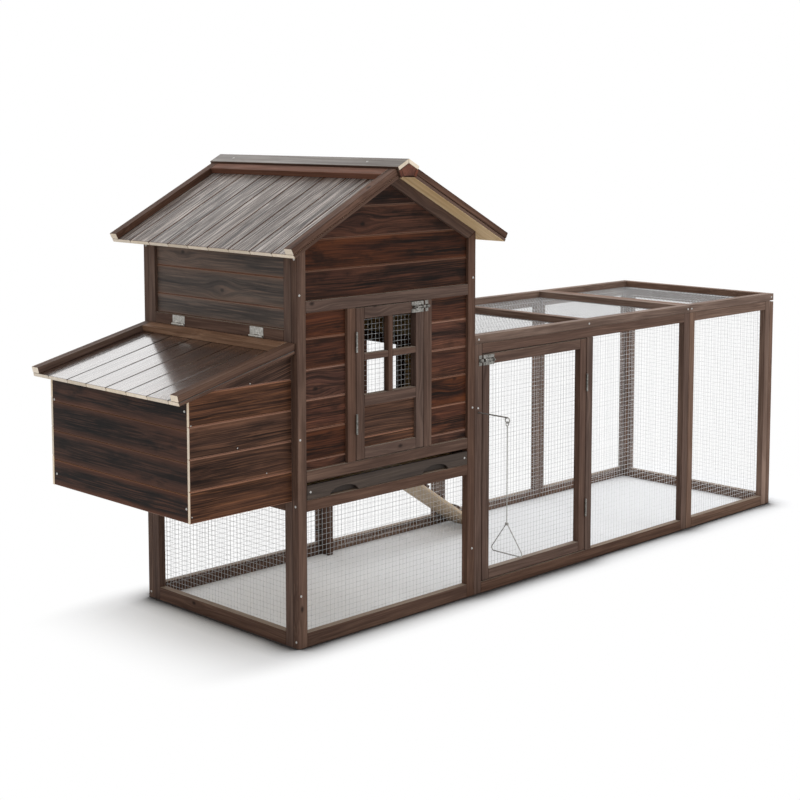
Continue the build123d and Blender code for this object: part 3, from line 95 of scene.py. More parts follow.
def wood(name, deep, body, pale, rim_or_highlight, char=1.0, streak_mm=16, fibre_mm=4, fibres=0.4, ends=5.0,
         ring_mm=6, rings=0.2, blotch=0.2, band=0.0, knot_gate=0.62, knot_mm=8, rim_or_highlight_share=0.5,
         both_edges=False, shades=(0.8, 1.2), rough=0.55, gloss=0.3, coat=0.0):
    """Softwood: streaks, rings and fibres that part round the knots, soot, and rims at the joints, dark or as
    a painted highlight.

    The colours are the dark heart, the plain wood, the pale sapwood and the rim_or_highlight: dark,
    it marks the joints and corners; pale, it is a painted highlight along a board's top edge and eased
    corners. char sharpens the streaks; fibres, rings, blotch, band and rim_or_highlight_share say how much
    of their colour shows; ends is how many fibres end in a metre; a higher knot_gate leaves fewer knots;
    both_edges puts the rim on both long edges and not on the top one alone. Real fibres are finer than a
    pixel, so they are drawn a few millimetres wide.
    """
    material = bpy.data.materials.new(name)
    material.use_nodes = True
    tree = material.node_tree
    tree.nodes.clear()
    grain = add(tree, "ShaderNodeAttribute", attribute_name="grain").outputs["Vector"]
    tone = add(tree, "ShaderNodeAttribute", attribute_name="tone").outputs["Fac"]
    edge = add(tree, "ShaderNodeAttribute", attribute_name="edge").outputs["Fac"]
    cross = add(tree, "ShaderNodeAttribute", attribute_name="cross").outputs["Fac"]
    warmth = add(tree, "ShaderNodeAttribute", attribute_name="warmth").outputs["Fac"]

    def figure(where, turns, across_mm, detail):
        """A pattern drawn out along the grain: turns a metre along it, millimetres across it."""
        scale = (turns, 1000 / across_mm, 1000 / across_mm)
        way = add(tree, "ShaderNodeMapping", {"Vector": where, "Scale": scale})
        return add(tree, "ShaderNodeTexNoise",
                   {"Vector": way.outputs[0], "Scale": 1.0, "Detail": detail, "Roughness": 0.58})

    def stained(under, stain, pattern, start, end, most, only=None, curve="LINEAR"):
        """A colour with a stain over it, from none at a pattern's start value to the most at its end."""
        share = add(tree, "ShaderNodeMapRange",
                    {"Value": pattern, "From Min": start, "From Max": end, "To Max": most},
                    interpolation_type=curve).outputs[0]
        if only is not None:
            share = add(tree, "ShaderNodeMath", {0: share, 1: only}, operation="MULTIPLY").outputs[0]
        return add(tree, "ShaderNodeMix", {0: share, 6: under, 7: linear(stain)},
                   data_type="RGBA").outputs[2]

    # The grain wanders along the log and parts round each knot.
    spacing = (KNOTS_PER_M * KNOT_OVAL, KNOTS_PER_M, 1)
    spaced = add(tree, "ShaderNodeMapping", {"Vector": grain, "Scale": spacing}).outputs[0]
    cell = add(tree, "ShaderNodeTexVoronoi", {"Vector": spaced, "Scale": 1.0}, voronoi_dimensions="2D")
    branch = add(tree, "ShaderNodeMath", {0: cell.outputs["Color"], 1: knot_gate},
                 operation="GREATER_THAN").outputs[0]
    pull = add(tree, "ShaderNodeMapRange",
               {"Value": cell.outputs["Distance"], "From Min": PARTING_FROM, "From Max": PARTING_TO,
                "To Max": PARTING}, interpolation_type="SMOOTHERSTEP")
    pull = add(tree, "ShaderNodeMath", {0: pull.outputs[0], 1: branch}, operation="MULTIPLY")
    aside = add(tree, "ShaderNodeVectorMath", {0: spaced, 1: cell.outputs["Position"]},
                operation="SUBTRACT")
    aside = add(tree, "ShaderNodeVectorMath", {0: aside.outputs[0], 1: (0, -1 / KNOTS_PER_M, 0)},
                operation="MULTIPLY")
    aside = add(tree, "ShaderNodeVectorMath", {0: aside.outputs[0], "Scale": pull.outputs[0]},
                operation="SCALE")
    parted = add(tree, "ShaderNodeVectorMath", {0: grain, 1: aside.outputs[0]}, operation="ADD")
    drift = figure(grain, turns=1.6, across_mm=170, detail=2.0).outputs["Color"]
    flow = add(tree, "ShaderNodeVectorMath", {0: drift, 1: (0, WANDER_M, WANDER_M), 2: parted.outputs[0]},
               operation="MULTIPLY_ADD").outputs[0]

    # Heart and sapwood lie in long streaks, and some of the sapwood is golden.
    streaks = figure(flow, turns=2.4, across_mm=streak_mm, detail=5.0).outputs["Fac"]
    sap = add(tree, "ShaderNodeMapRange",
              {"Value": streaks, "From Min": 0.5 - STREAK_SPREAD / char,
               "From Max": 0.5 + STREAK_SPREAD / char}).outputs[0]
    colour = add(tree, "ShaderNodeMix", {0: sap, 6: linear(deep), 7: linear(body)},
                 data_type="RGBA").outputs[2]
    gold = figure(flow, turns=1.3, across_mm=60, detail=1.0).outputs["Fac"]
    colour = stained(colour, pale, gold, start=0.5, end=0.7, most=0.65, only=sap)
    fibre = figure(flow, turns=ends, across_mm=fibre_mm, detail=3.0).outputs["Fac"]
    colour = stained(colour, pale, fibre, start=0.5, end=0.7, most=fibres)

    # Late wood closes each ring, and the hollows between the fibres are as dark.
    growth = add(tree, "ShaderNodeTexWave",
                 {"Vector": flow, "Scale": WAVE_MM / ring_mm, "Distortion": 0.8, "Detail": 1.0},
                 wave_type="RINGS", rings_direction="X", wave_profile="SAW").outputs["Fac"]
    late = add(tree, "ShaderNodeMapRange", {"Value": growth, "From Min": 0.45, "To Max": rings},
               interpolation_type="SMOOTHSTEP").outputs[0]
    hollow = add(tree, "ShaderNodeMapRange",
                 {"Value": fibre, "From Min": 0.5, "From Max": 0.32, "To Max": fibres}).outputs[0]
    dark = add(tree, "ShaderNodeMath", {0: late, 1: hollow}, operation="MAXIMUM").outputs[0]
    colour = add(tree, "ShaderNodeMix", {0: dark, 6: colour, 7: linear(deep)}, data_type="RGBA").outputs[2]

    # Soot lies in blotches across the grain, and the knots are nearly black.
    soot = figure(flow, turns=8.0, across_mm=45, detail=5.0).outputs["Fac"]
    colour = stained(colour, deep, soot, start=0.5, end=0.66, most=blotch)
    knot = knot_mm * KNOTS_PER_M / 1000
    colour = stained(colour, KNOT_HEART, cell.outputs["Distance"], start=knot,
                     end=knot * KNOT_HEART_SHARE, most=0.8, only=branch)

    # Towards the joints the soot thins out. A dark rim marks the joints; a pale one is a painted highlight
    # along the top edge and the eased corners.
    outward = add(tree, "ShaderNodeMath", {0: cross}, operation="ABSOLUTE").outputs[0]
    colour = stained(colour, pale, outward, start=0.45, end=1.0, most=band, curve="SMOOTHSTEP")
    joint_or_highlight_lip = add(tree, "ShaderNodeMapRange",
              {"Value": outward if both_edges else cross, "From Min": 0.9, "From Max": 0.96, "To Max": 0.7})
    rims = add(tree, "ShaderNodeMath", {0: edge, 1: joint_or_highlight_lip.outputs[0]}, operation="MAXIMUM")
    rims = add(tree, "ShaderNodeMath", {0: rims.outputs[0], 1: rim_or_highlight_share}, operation="MULTIPLY")
    colour = add(tree, "ShaderNodeMix", {0: rims.outputs[0], 6: colour, 7: linear(rim_or_highlight)},
                 data_type="RGBA").outputs[2]

    # Every stick has its own shade and warmth, and its raised fibres are worn smoother.
    shade = add(tree, "ShaderNodeMapRange", {"Value": tone, "To Min": shades[0], "To Max": shades[1]})
    warm = add(tree, "ShaderNodeMapRange", {"Value": warmth, "To Min": WARM_CUTS[0], "To Max": WARM_CUTS[1]})
    colour = add(tree, "ShaderNodeHueSaturation",
                 {"Color": colour, "Value": shade.outputs[0], "Saturation": warm.outputs[0]})
    dull = add(tree, "ShaderNodeMapRange",
               {"Value": fibre, "From Min": 0.3, "From Max": 0.7,
                "To Min": rough + DULLER, "To Max": rough - SMOOTHER})
    height = add(tree, "ShaderNodeMath", {0: fibre, 1: late}, operation="ADD")
    relief = add(tree, "ShaderNodeBump",
                 {"Height": height.outputs[0], "Strength": 0.3, "Distance": FIBRE_RELIEF_M})
    film = add(tree, "ShaderNodeBump", {"Height": fibre, "Strength": 0.12, "Distance": FIBRE_RELIEF_M})
    shader = add(tree, "ShaderNodeBsdfPrincipled",
                 {"Base Color": colour.outputs[0], "Roughness": dull.outputs[0], "Normal": relief.outputs[0],
                  "IOR": 1.5, "Specular IOR Level": gloss, "Coat Weight": coat, "Coat Roughness": 0.12,
                  "Coat Normal": film.outputs[0]})
    add(tree, "ShaderNodeOutputMaterial", {"Surface": shader.outputs[0]})
    return material


MERGE = 1e-5
COPLANAR = math.radians(1)
SHARP = math.radians(20)


def merged_copy(node):
    """A bmesh of a CAD node with its loose triangles joined into flat faces."""
    bm = bmesh.new()
    bm.from_mesh(frame["nodes"][node].data)
    bmesh.ops.remove_doubles(bm, verts=bm.verts[:], dist=MERGE)
    bmesh.ops.dissolve_limit(bm, angle_limit=COPLANAR, verts=bm.verts[:], edges=bm.edges[:])
    return bm


def loose_lengths(bm):
    """Each separate length in a bmesh, as its vertices in the order they are met."""
    for vert in bm.verts:
        vert.tag = False
    for start in bm.verts:
        if start.tag:
            continue
        start.tag = True
        met = [start]
        for vert in met:
            for joined in vert.link_edges:
                other = joined.other_vert(vert)
                if not other.tag:
                    other.tag = True
                    met.append(other)
        yield met


def ease_corners(bm, ease):
    """Round the sharp edges over."""
    corners = [e for e in bm.edges if e.is_manifold and e.calc_face_angle() > SHARP]
    bmesh.ops.bevel(bm, geom=corners, offset=ease, offset_type="OFFSET", segments=2, profile=0.5,
                    affect="EDGES", material=-1)


BODY_OF = {node: body for body, nodes in frame["record"]["behaviour"]["bodies"].items() for node in nodes}


def place(name, bm, finishes, node, replaced=()):
    """Turn a bmesh into a piece that rides on its CAD node's body and stands for the replaced nodes."""
    mesh = bpy.data.meshes.new(name)
    bm.to_mesh(mesh)
    bm.free()
    for finish in finishes:
        mesh.materials.append(finish)
    piece = bpy.data.objects.new(name, mesh)
    bpy.context.scene.collection.objects.link(piece)
    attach(piece, BODY_OF[node])
    if replaced:
        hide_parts(*replaced)


def one_finish(face, along):
    """The first finish on every face."""
    return 0


AXES = [Vector(axis) for axis in ((1, 0, 0), (0, 1, 0), (0, 0, 1))]
# A board's top edge is its higher one, or else its back one, or else its right one.
TOP_EDGE = Vector((0.001, 0.01, 1))
FLAT = 0.97
# Each stick is cut somewhere along a long log, with the pith a little to one side of it.
LOG_M = 40
PITH_ACROSS_M = (-0.07, 0.0)
PITH_DEEP_M = (-0.02, 0.03)
DARKEST_STICK = 0.25
# Sticks above a given height have their shade cut to this share.
DARKER_ABOVE = 0.15


def lengths(node, finishes, ease, pick=one_finish, dark_above=math.inf):
    """The timbers of a CAD node with eased corners, each with its own grain along its longest edge.

    Those above the height dark_above are drawn darker.
    """
    draw = random.Random(node)
    bm = merged_copy(node)
    ease_corners(bm, ease)
    grain = bm.verts.layers.float_vector.new("grain")
    tone = bm.verts.layers.float.new("tone")
    cross = bm.verts.layers.float.new("cross")
    warmth = bm.verts.layers.float.new("warmth")
    edge = bm.faces.layers.float.new("edge")
    bm.normal_update()
    for stick in loose_lengths(bm):
        spine = max((e for v in stick for e in v.link_edges), key=lambda e: round(e.calc_length(), 5))
        along = (spine.verts[1].co - spine.verts[0].co).normalized()
        square = along.cross(min(AXES, key=lambda axis: round(abs(axis.dot(along)), 3))).normalized()
        ways = []
        for way in (square, along.cross(square)):
            spots = [v.co.dot(way) for v in stick]
            ways.append((round(max(spots) - min(spots), 5), (max(spots) + min(spots)) / 2, way))
        (_, mid_thick, depth), (wide, mid_wide, width) = sorted(ways, key=lambda row: row[0])
        lift = 1 if width.dot(TOP_EDGE) > 0 else -1
        cut = draw.uniform(0, LOG_M)
        pith = Vector((0, draw.uniform(*PITH_ACROSS_M), draw.uniform(*PITH_DEEP_M)))
        shade = draw.uniform(DARKEST_STICK, 1)
        warm = draw.random()
        if (stick[0].co.z + stick[-1].co.z) / 2 > dark_above:
            shade *= DARKER_ABOVE
        for vert in stick:
            over = vert.co.dot(width) - mid_wide
            inward = vert.co.dot(depth) - mid_thick
            vert[grain] = Vector((vert.co.dot(along) + cut, over, inward)) + pith
            vert[cross] = lift * over / (wide / 2)
            vert[tone] = shade
            vert[warmth] = warm
        for face in {f for v in stick for f in v.link_faces}:
            squarest = max(abs(face.normal.dot(way)) for way in (along, width, depth))
            face[edge] = 0.0 if squarest > FLAT else 1.0
            face.material_index = pick(face, along)
    place(node + "_wood", bm, finishes, node, (node,))


# Brown stain on planed pine: warm and dull, darker at the corners, with little figure.
brown_stain = wood("brown_stained_pine", "#3c2b23", "#614a3f", "#796051", "#33231b", char=0.8,
                   streak_mm=14, blotch=0.25, rim_or_highlight_share=0.45, shades=(0.9, 1.08), rough=0.6, gloss=0.12)
# Painted light from above: the sides that lie to the sky are pale, greyish and duller.
lit_tops = wood("lit_top_brown_pine", "#7c6d60", "#998a7d", "#afa194", "#6a5a4d", char=0.8,
                 streak_mm=14, blotch=0.2, rim_or_highlight_share=0.3, shades=(0.9, 1.08), rough=0.65, gloss=0.12)


def painted_light_above(face, along):
    """Full stain at the sides; a paler finish, painted light from above, on the faces that lie to the sky."""
    return 1 if face.normal.z > LYING else 0


# Their top faces take the paler finish, painted light from above.
for panel in ("front_frame", "left_frame", "back_frame", "right_frame"):
    lengths(panel, [brown_stain, lit_tops], BATTEN_EASE, painted_light_above)


# House walls. Profiled boards, 92 mm to the weather, are let into the frames with a V at each
# joint. They were scorched and brushed before staining; the pale rim on each board's top edge and
# bevels is a painted highlight. The ends and the sides that look indoors are raw.
BOARD_EASE = 0.001
END_ON = 0.9
GABLE_FOOT = 1.06
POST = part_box("front_frame")[0]
HOUSE_MIDDLE = (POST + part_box("back_frame")[1]) / 2
# Scorched and brushed pine: hard reddish growth lines stand out of soft wood that is nearly black.
scorched = wood("scorched_brushed_pine", "#190f0b", "#523125", "#774932", "#9a7461", char=1.5,
                streak_mm=24, fibre_mm=3.5, fibres=0.55, blotch=0.75, band=0.12, rim_or_highlight_share=0.7,
                shades=(0.55, 1.2), rough=0.5, gloss=0.07)
# The left wall's boards were stained only: a greyer brown with a slight sheen, and light joints that are a
# painted highlight.
weathered = wood("grey_stained_pine", "#2a2421", "#574b43", "#715a4c", "#7c5b4a", char=1.2,
                 streak_mm=16, fibre_mm=5, fibres=0.6, blotch=0.4, band=0.45, knot_gate=0.68,
                 rim_or_highlight_share=0.8, rough=0.5, gloss=0.25)
# Raw planed pine: straw yellow, dull, with soft rings and small knots.
raw_pine = wood("raw_planed_pine", "#a88e63", "#c1a87a", "#d2bd93", "#d2bd93", rings=0.4, blotch=0.1,
                knot_mm=6, rim_or_highlight_share=0.2, rough=0.6, gloss=0.2)
# Sawn ends: cream and rough, with narrow rings and no knots to speak of.
sawn_ends = wood("sawn_pine_ends", "#d2c3af", "#e1d3c1", "#ebe0d1", "#cabaa4", ring_mm=3, rings=0.5,
                 blotch=0.1, knot_mm=0.5, rim_or_highlight_share=0.3, rough=0.7, gloss=0.1)


def raw_indoors(middle):
    """Stain outdoors, raw wood on the sawn ends and on the sides that look to the middle of the box."""
    def pick(face, along):
        if abs(face.normal.dot(along)) > END_ON:
            return 1
        towards = (middle - face.calc_center_median()).xy
        return 2 if face.normal.xy.length > END_ON and face.normal.xy.dot(towards) > 0 else 0
    return pick


for wall in ("front_cladding", "back_cladding", "right_cladding"):
    lengths(wall, [scorched, sawn_ends, raw_pine], BOARD_EASE, raw_indoors(HOUSE_MIDDLE), GABLE_FOOT)
lengths("left_cladding", [weathered, sawn_ends, raw_pine], BOARD_EASE, raw_indoors(HOUSE_MIDDLE))


# Welded mesh. Galvanised wire of 0.9 mm, crossed in two layers at 16 mm and welded where it
# crosses, is stapled over the inside of every opening. The wires are never quite straight. The
# run's fixed panels carry a lighter copy of the wire as painted light, and the house, the lids
# and the run door a darker copy as painted shade.
MESH_PITCH = 0.016
WIRE_R = 0.00045
WIRE_STRAY = 0.0003
WIRE_SIDES = 5
ZINC_RELIEF_M = 0.0002
CLOUD_CELLS = 4
UP = Vector((0, 0, 1))


def galvanised(name, bright, grey, rough, cell_mm, metal=0.85):
    """Zinc coating: a cool grey metal in crystal patches, bright ones smoother than grey ones."""
    material = bpy.data.materials.new(name)
    material.use_nodes = True
    tree = material.node_tree
    tree.nodes.clear()
    where = add(tree, "ShaderNodeTexCoord").outputs["Object"]
    patch = add(tree, "ShaderNodeTexVoronoi", {"Vector": where, "Scale": 1000 / cell_mm})
    cloud_mm = cell_mm * CLOUD_CELLS
    cloud = add(tree, "ShaderNodeTexNoise", {"Vector": where, "Scale": 1000 / cloud_mm, "Detail": 4.0})
    mottle = add(tree, "ShaderNodeMath", {0: patch.outputs["Color"], 1: cloud.outputs["Fac"]},
                 operation="MULTIPLY")
    spread = add(tree, "ShaderNodeMapRange",
                 {"Value": mottle.outputs[0], "From Min": 0.05, "From Max": 0.5}).outputs[0]
    colour = add(tree, "ShaderNodeMix", {0: spread, 6: linear(grey), 7: linear(bright)}, data_type="RGBA")
    dull = add(tree, "ShaderNodeMapRange",
               {"Value": spread, "To Min": rough + DULLER, "To Max": rough - SMOOTHER})
    relief = add(tree, "ShaderNodeBump", {"Height": spread, "Strength": 0.2, "Distance": ZINC_RELIEF_M})
    shader = add(tree, "ShaderNodeBsdfPrincipled",
                 {"Base Color": colour.outputs[2], "Roughness": dull.outputs[0],
                  "Normal": relief.outputs[0], "Metallic": metal})
    add(tree, "ShaderNodeOutputMaterial", {"Surface": shader.outputs[0]})
    return material


def net_boxes(node):
    """The low and the high corner of each separate net in a CAD node."""
    bm = merged_copy(node)
    boxes = []
    for net in loose_lengths(bm):
        spots = [v.co for v in net]
        boxes.append([Vector([end(spot[axis] for spot in spots) for axis in range(3)]) for end in (min, max)])
    bm.free()
    return boxes


def welded_mesh(node, finish):
    """Two layers of straight wires over each net of a CAD node, within its thickness."""
    draw = random.Random(node)
    bm = bmesh.new()
    for low, high in net_boxes(node):
        size = high - low
        flat = min(range(3), key=lambda axis: size[axis])
        across, up = [axis for axis in range(3) if axis != flat]
        for layer, (run, step) in enumerate(((across, up), (up, across))):
            turn = UP.rotation_difference(AXES[run]).to_matrix().to_4x4()
            count = round(size[step] / MESH_PITCH)
            for index in range(count + 1):
                centre = (low + high) / 2
                centre[step] = low[step] + WIRE_R + (size[step] - 2 * WIRE_R) * index / count
                if 0 < index < count:
                    centre[step] += draw.uniform(-WIRE_STRAY, WIRE_STRAY)
                centre[flat] = low[flat] + WIRE_R if layer == 0 else high[flat] - WIRE_R
                bmesh.ops.create_cone(bm, cap_ends=True, segments=WIRE_SIDES, radius1=WIRE_R, radius2=WIRE_R,
                                      depth=size[run], matrix=Matrix.Translation(centre) @ turn)
    place(node + "_wires", bm, [finish], node, (node,))


# Painted shade: the wire darkened to an even light grey with hardly a glint.
shaded_wire = galvanised("shaded_galvanised_wire", "#c4c5c5", "#a0a1a2", rough=0.5, cell_mm=6, metal=0.25)
# Painted light: the same wire, nearly white.
lit_wire = galvanised("lit_galvanised_wire", "#e6e7e7", "#cdcecf", rough=0.5, cell_mm=6, metal=0.1)
for net in ("front_lower_mesh", "left_lower_mesh", "back_lower_mesh", "house_door_mesh",
            "run_lid_near_mesh", "run_lid_far_mesh", "run_door_mesh"):
    welded_mesh(net, shaded_wire)
for net in ("run_front_near_mesh", "run_front_far_mesh", "run_back_mesh", "run_end_mesh"):
    welded_mesh(net, lit_wire)


# Roof. Boards run down both slopes from a five-sided ridge beam; battens lie on the verges and
# along the top, and a two-board cap covers the ridge. The weather side was stained and oiled to a
# grey satin, the long edges and the battens brown; the undersides and the sawn ends are raw.
FACING_UP = 0.5
SEAM_EASE = 0.0018
# Oiled grey pine: pale, close fibres over dark streaks, brown at the seams, with a satin sheen.
roof_stain = wood("oiled_grey_pine", "#21150f", "#70625a", "#bcb2aa", "#41251a", char=1.1,
                  streak_mm=13, fibre_mm=3.4, fibres=0.95, ends=4.5, blotch=0.4, knot_gate=1.1,
                  rim_or_highlight_share=1.0, both_edges=True, shades=(0.62, 1.18), rough=0.42, gloss=0.3)
# The undersides: raw planed pine painted paler, as painted light from the bright floor below, with clear
# rings.
soffit_lit_pine = wood("lit_pale_planed_pine", "#c6a678", "#e2c295", "#f0d9b2", "#f0d9b2", rings=0.5,
                   blotch=0.1, knot_mm=6, rim_or_highlight_share=0.2, rough=0.6, gloss=0.2)
# The cap is paler than the boards: an even pale grey with long, broad fibres.
cap_stain = wood("pale_grey_oiled_pine", "#3c3631", "#757069", "#97918a", "#6a5f57", char=1.4,
                 streak_mm=12, fibre_mm=8, ends=1.8, blotch=0.25, knot_gate=1.1, rough=0.42, gloss=0.3)
# The verge battens took a dark red-brown stain, with hardly any sheen.
verge_stain = wood("dark_red_stained_pine", "#37241b", "#5e4538", "#77594a", "#35221a", char=1.0,
                   streak_mm=14, blotch=0.4, rim_or_highlight_share=0.45, shades=(0.92, 1.05), rough=0.6, gloss=0.1)
# The top battens are a redder brown, painted lighter as well: painted light on the strip under the cap.
reddened_lit = wood("red_brown_lit_pine", "#4c3226", "#7d5443", "#97705d", "#644436", char=1.1,
                streak_mm=14, blotch=0.5, rim_or_highlight_share=0.4, shades=(0.92, 1.05), rough=0.6, gloss=0.12)
# End grain drinks the stain: the beam's ends are deep red with narrow rings.
red_ends = wood("red_stained_end_grain", "#42251c", "#6a3d2e", "#7c4b39", "#35201a", ring_mm=4,
                rings=0.5, rough=0.6, gloss=0.15)


def weather_side(face, along):
    """Weather finish to the sky, raw wood on the sawn ends and below, brown on the long edges."""
    if abs(face.normal.dot(along)) > END_ON:
        return 1
    if face.normal.z > FACING_UP:
        return 0
    return 2 if face.normal.z < -FACING_UP else 3


def batten_side(face, along):
    """One stain down the slope, raw wood on the sawn ends, and along the wall another stain painted lighter
    as painted light.
    """
    if abs(face.normal.dot(along)) > END_ON:
        return 1
    return 2 if abs(along.y) > END_ON else 0


def raw_ends(face, along):
    """One finish on the faces, another on the sawn ends."""
    return 1 if abs(face.normal.dot(along)) > END_ON else 0


for slope in ("roof_left_boards", "roof_right_boards"):
    lengths(slope, [roof_stain, sawn_ends, soffit_lit_pine, brown_stain], SEAM_EASE, weather_side)
lengths("ridge_cap", [cap_stain, sawn_ends, raw_pine, brown_stain], BOARD_EASE, weather_side)
lengths("roof_battens", [verge_stain, sawn_ends, reddened_lit], BATTEN_EASE, batten_side)
lengths("ridge_beam", [brown_stain, red_ends], BATTEN_EASE, raw_ends)


# Nest box. A box of scorched boards hangs on the left wall, with a raw floor and a divider. Its
# lid is boarded down the slope between side battens and varnished, so the boards mirror the wall
# and the bright room; the lid's sawn ends stay raw.
NEST_MIDDLE = (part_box("nest_box_front")[0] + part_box("nest_box_sides")[1]) / 2
# The sides were scorched lightly: an even mid brown with fine dark streaks.
browned = wood("brown_scorched_pine", "#1d130f", "#50382d", "#7a5540", "#9a7461", char=1.3,
               streak_mm=18, fibre_mm=3.5, fibres=0.6, ends=3.0, blotch=0.45, band=0.12,
               rim_or_highlight_share=0.7, shades=(0.6, 1.2), rough=0.5, gloss=0.07)
# The front was scorched hard: almost black, with brown only towards the joints.
sooted = wood("dark_scorched_pine", "#161110", "#37251e", "#653e2c", "#80593f", char=1.6,
              streak_mm=30, fibre_mm=4, fibres=0.5, blotch=0.85, band=0.55, rim_or_highlight_share=0.5,
              shades=(0.7, 1.05), rough=0.45, gloss=0.08)
# Clear varnish over dark brown stain: a glassy film that mirrors what stands behind it.
lid_varnish = wood("varnished_brown_pine", "#25170f", "#473127", "#654838", "#1f1410", fibre_mm=3.5,
                   fibres=0.6, ends=3.0, rings=0.3, rim_or_highlight_share=0.8, both_edges=True, rough=0.3,
                   gloss=0.5, coat=1.0)
# The batten along the wall is painted a lighter golden brown: painted light on a batten the wall shades.
golden_lit_stain = wood("golden_lit_stained_pine", "#5f4534", "#90705a", "#a88870", "#6a5040", char=0.9,
                    streak_mm=14, blotch=0.4, rim_or_highlight_share=0.35, shades=(0.92, 1.05), rough=0.6, gloss=0.12)
# The pale rims on the boards' top edges are a painted highlight.
lengths("nest_box_sides", [browned, sawn_ends, raw_pine], BOARD_EASE, raw_indoors(NEST_MIDDLE))
lengths("nest_box_front", [sooted, sawn_ends, raw_pine], BOARD_EASE, raw_indoors(NEST_MIDDLE))
for inner in ("nest_box_floor", "nest_box_divider"):
    lengths(inner, [raw_pine], BOARD_EASE)
lengths("nest_lid_boards", [lid_varnish, sawn_ends, raw_pine, brown_stain], SEAM_EASE, weather_side)
lengths("nest_lid_battens", [brown_stain, sawn_ends, golden_lit_stain], BATTEN_EASE, batten_side)


# House door. A frame of brown battens holds a cross of thin muntins over the mesh, and below the
# lock rail a panel of lightly scorched boards is let in.
# Its top faces take the paler finish, painted light from above.
lengths("house_door_frame", [brown_stain, lit_tops], BATTEN_EASE, painted_light_above)
lengths("house_door_panel", [browned, sawn_ends], BOARD_EASE, raw_ends)


# Drop tray. A front board with two finger arches is screwed to the rims that slide on the
# runners, and a thin raw floor lies between the rims. A dark strip behind each arch is painted
# shade: it stands in for the shaded hollow of the arch.
ARCHES_MM = (188, 592)
SHADE_LINING_MM = (132, 3, 22)
SHADE_LINING_AT_MM = (13.9, 464.8)
SHADE_LINING_EASE = 0.0005
# Painted shade: the tray's stain darkened to a plain grey-brown for its recessed place in the shade of the
# house.
tray_shaded_stain = wood("shaded_dark_stained_pine", "#2b231f", "#40362f", "#4d4138", "#2a201b", rim_or_highlight_share=0.4,
                  rough=0.6, gloss=0.2)
lengths("tray_front", [tray_shaded_stain], BOARD_EASE)
for inner in ("tray_rims", "tray_runners"):
    lengths(inner, [brown_stain], BATTEN_EASE)
lengths("tray_floor", [raw_pine], BOARD_EASE)
shade_lining = bmesh.new()
for arch in ARCHES_MM:
    middle = POST + Vector((arch, *SHADE_LINING_AT_MM)) / 1000
    size = Matrix.Diagonal((*(Vector(SHADE_LINING_MM) / 1000), 1))
    bmesh.ops.create_cube(shade_lining, matrix=Matrix.Translation(middle) @ size)
bmesh.ops.bevel(shade_lining, geom=shade_lining.edges[:], offset=SHADE_LINING_EASE, segments=1, profile=0.5,
                affect="EDGES", material=-1)
place("tray_finger_shade_lining", shade_lining, [tray_shaded_stain], "tray_front")


# Perches. Raw planed battens lie across the house from the front studs to the back studs, low
# over the tray, for the hens to roost on.
lengths("perches", [raw_pine], BATTEN_EASE)


# Pop door. A scorched board slides across the pop hole in two grooved brown battens, which are
# screwed to the run side of the right wall.
lengths("pop_door_panel", [scorched], BOARD_EASE)
lengths("pop_door_guides", [brown_stain], BOARD_EASE)


# Ramp. A raw board with stained rungs nailed across it leads from the low rail of the right wall
# down to the ground in the run.

# Raw pine that feet have worn: sandy, pale and dull.
ramp_pine = wood("worn_raw_pine", "#b5a085", "#d2bb9f", "#e6d3ba", "#e6d3ba", rings=0.4, blotch=0.1,
                 knot_mm=6, rim_or_highlight_share=0.2, rough=0.65, gloss=0.15)
lengths("ramp_board", [ramp_pine], BOARD_EASE)
lengths("ramp_rungs", [brown_stain], BOARD_EASE)


# Run. Panels of the same battens stand between the house and the end panel, screwed edge to
# edge, with two flat lid frames on top and a hinged door in the first bay. The panels further
# from the house are painted lighter, and the lids' top faces paler: painted light.

# Painted light: the thin brown stain of the far panels and the lids, painted lighter and a little redder than
# the house's.
lit_run_stain = wood("lit_brown_stained_pine", "#4b382e", "#765e50", "#917767", "#3d2b22", char=0.8,
                 streak_mm=14, blotch=0.25, rim_or_highlight_share=0.4, shades=(0.9, 1.08), rough=0.6, gloss=0.12)
# Painted light on the lids' top faces: the same brown, a shade paler and duller.
lit_lid_tops = wood("lit_lid_top_pine", "#574339", "#806859", "#9c8676", "#4a372d", char=0.8,
                streak_mm=14, blotch=0.2, rim_or_highlight_share=0.3, shades=(0.9, 1.08), rough=0.65, gloss=0.12)
for panel in ("run_front_near_frame", "run_door_frame"):
    lengths(panel, [brown_stain, lit_tops], BATTEN_EASE, painted_light_above)
for panel in ("run_front_far_frame", "run_back_frame", "run_end_frame"):
    lengths(panel, [lit_run_stain, lit_tops], BATTEN_EASE, painted_light_above)
for lid in ("run_lid_near_frame", "run_lid_far_frame"):
    lengths(lid, [lit_run_stain, lit_lid_tops], BATTEN_EASE, painted_light_above)


# Hinges and bolts. Pressed steel leaves and plates and drawn pins, zinc plated and screwed on.
# On the doors the plating has gone dull and patchy; on the left wall, under the eave, it is
# still light, so the fixed leaves there are told from the doors' by their place.
ON_LEFT_WALL = 0.01
# Dulled zinc plating: a mid grey metal with clear patches.
zinc_plate = galvanised("zinc_plated_steel", "#9c9a95", "#5d5b56", rough=0.36, cell_mm=5)
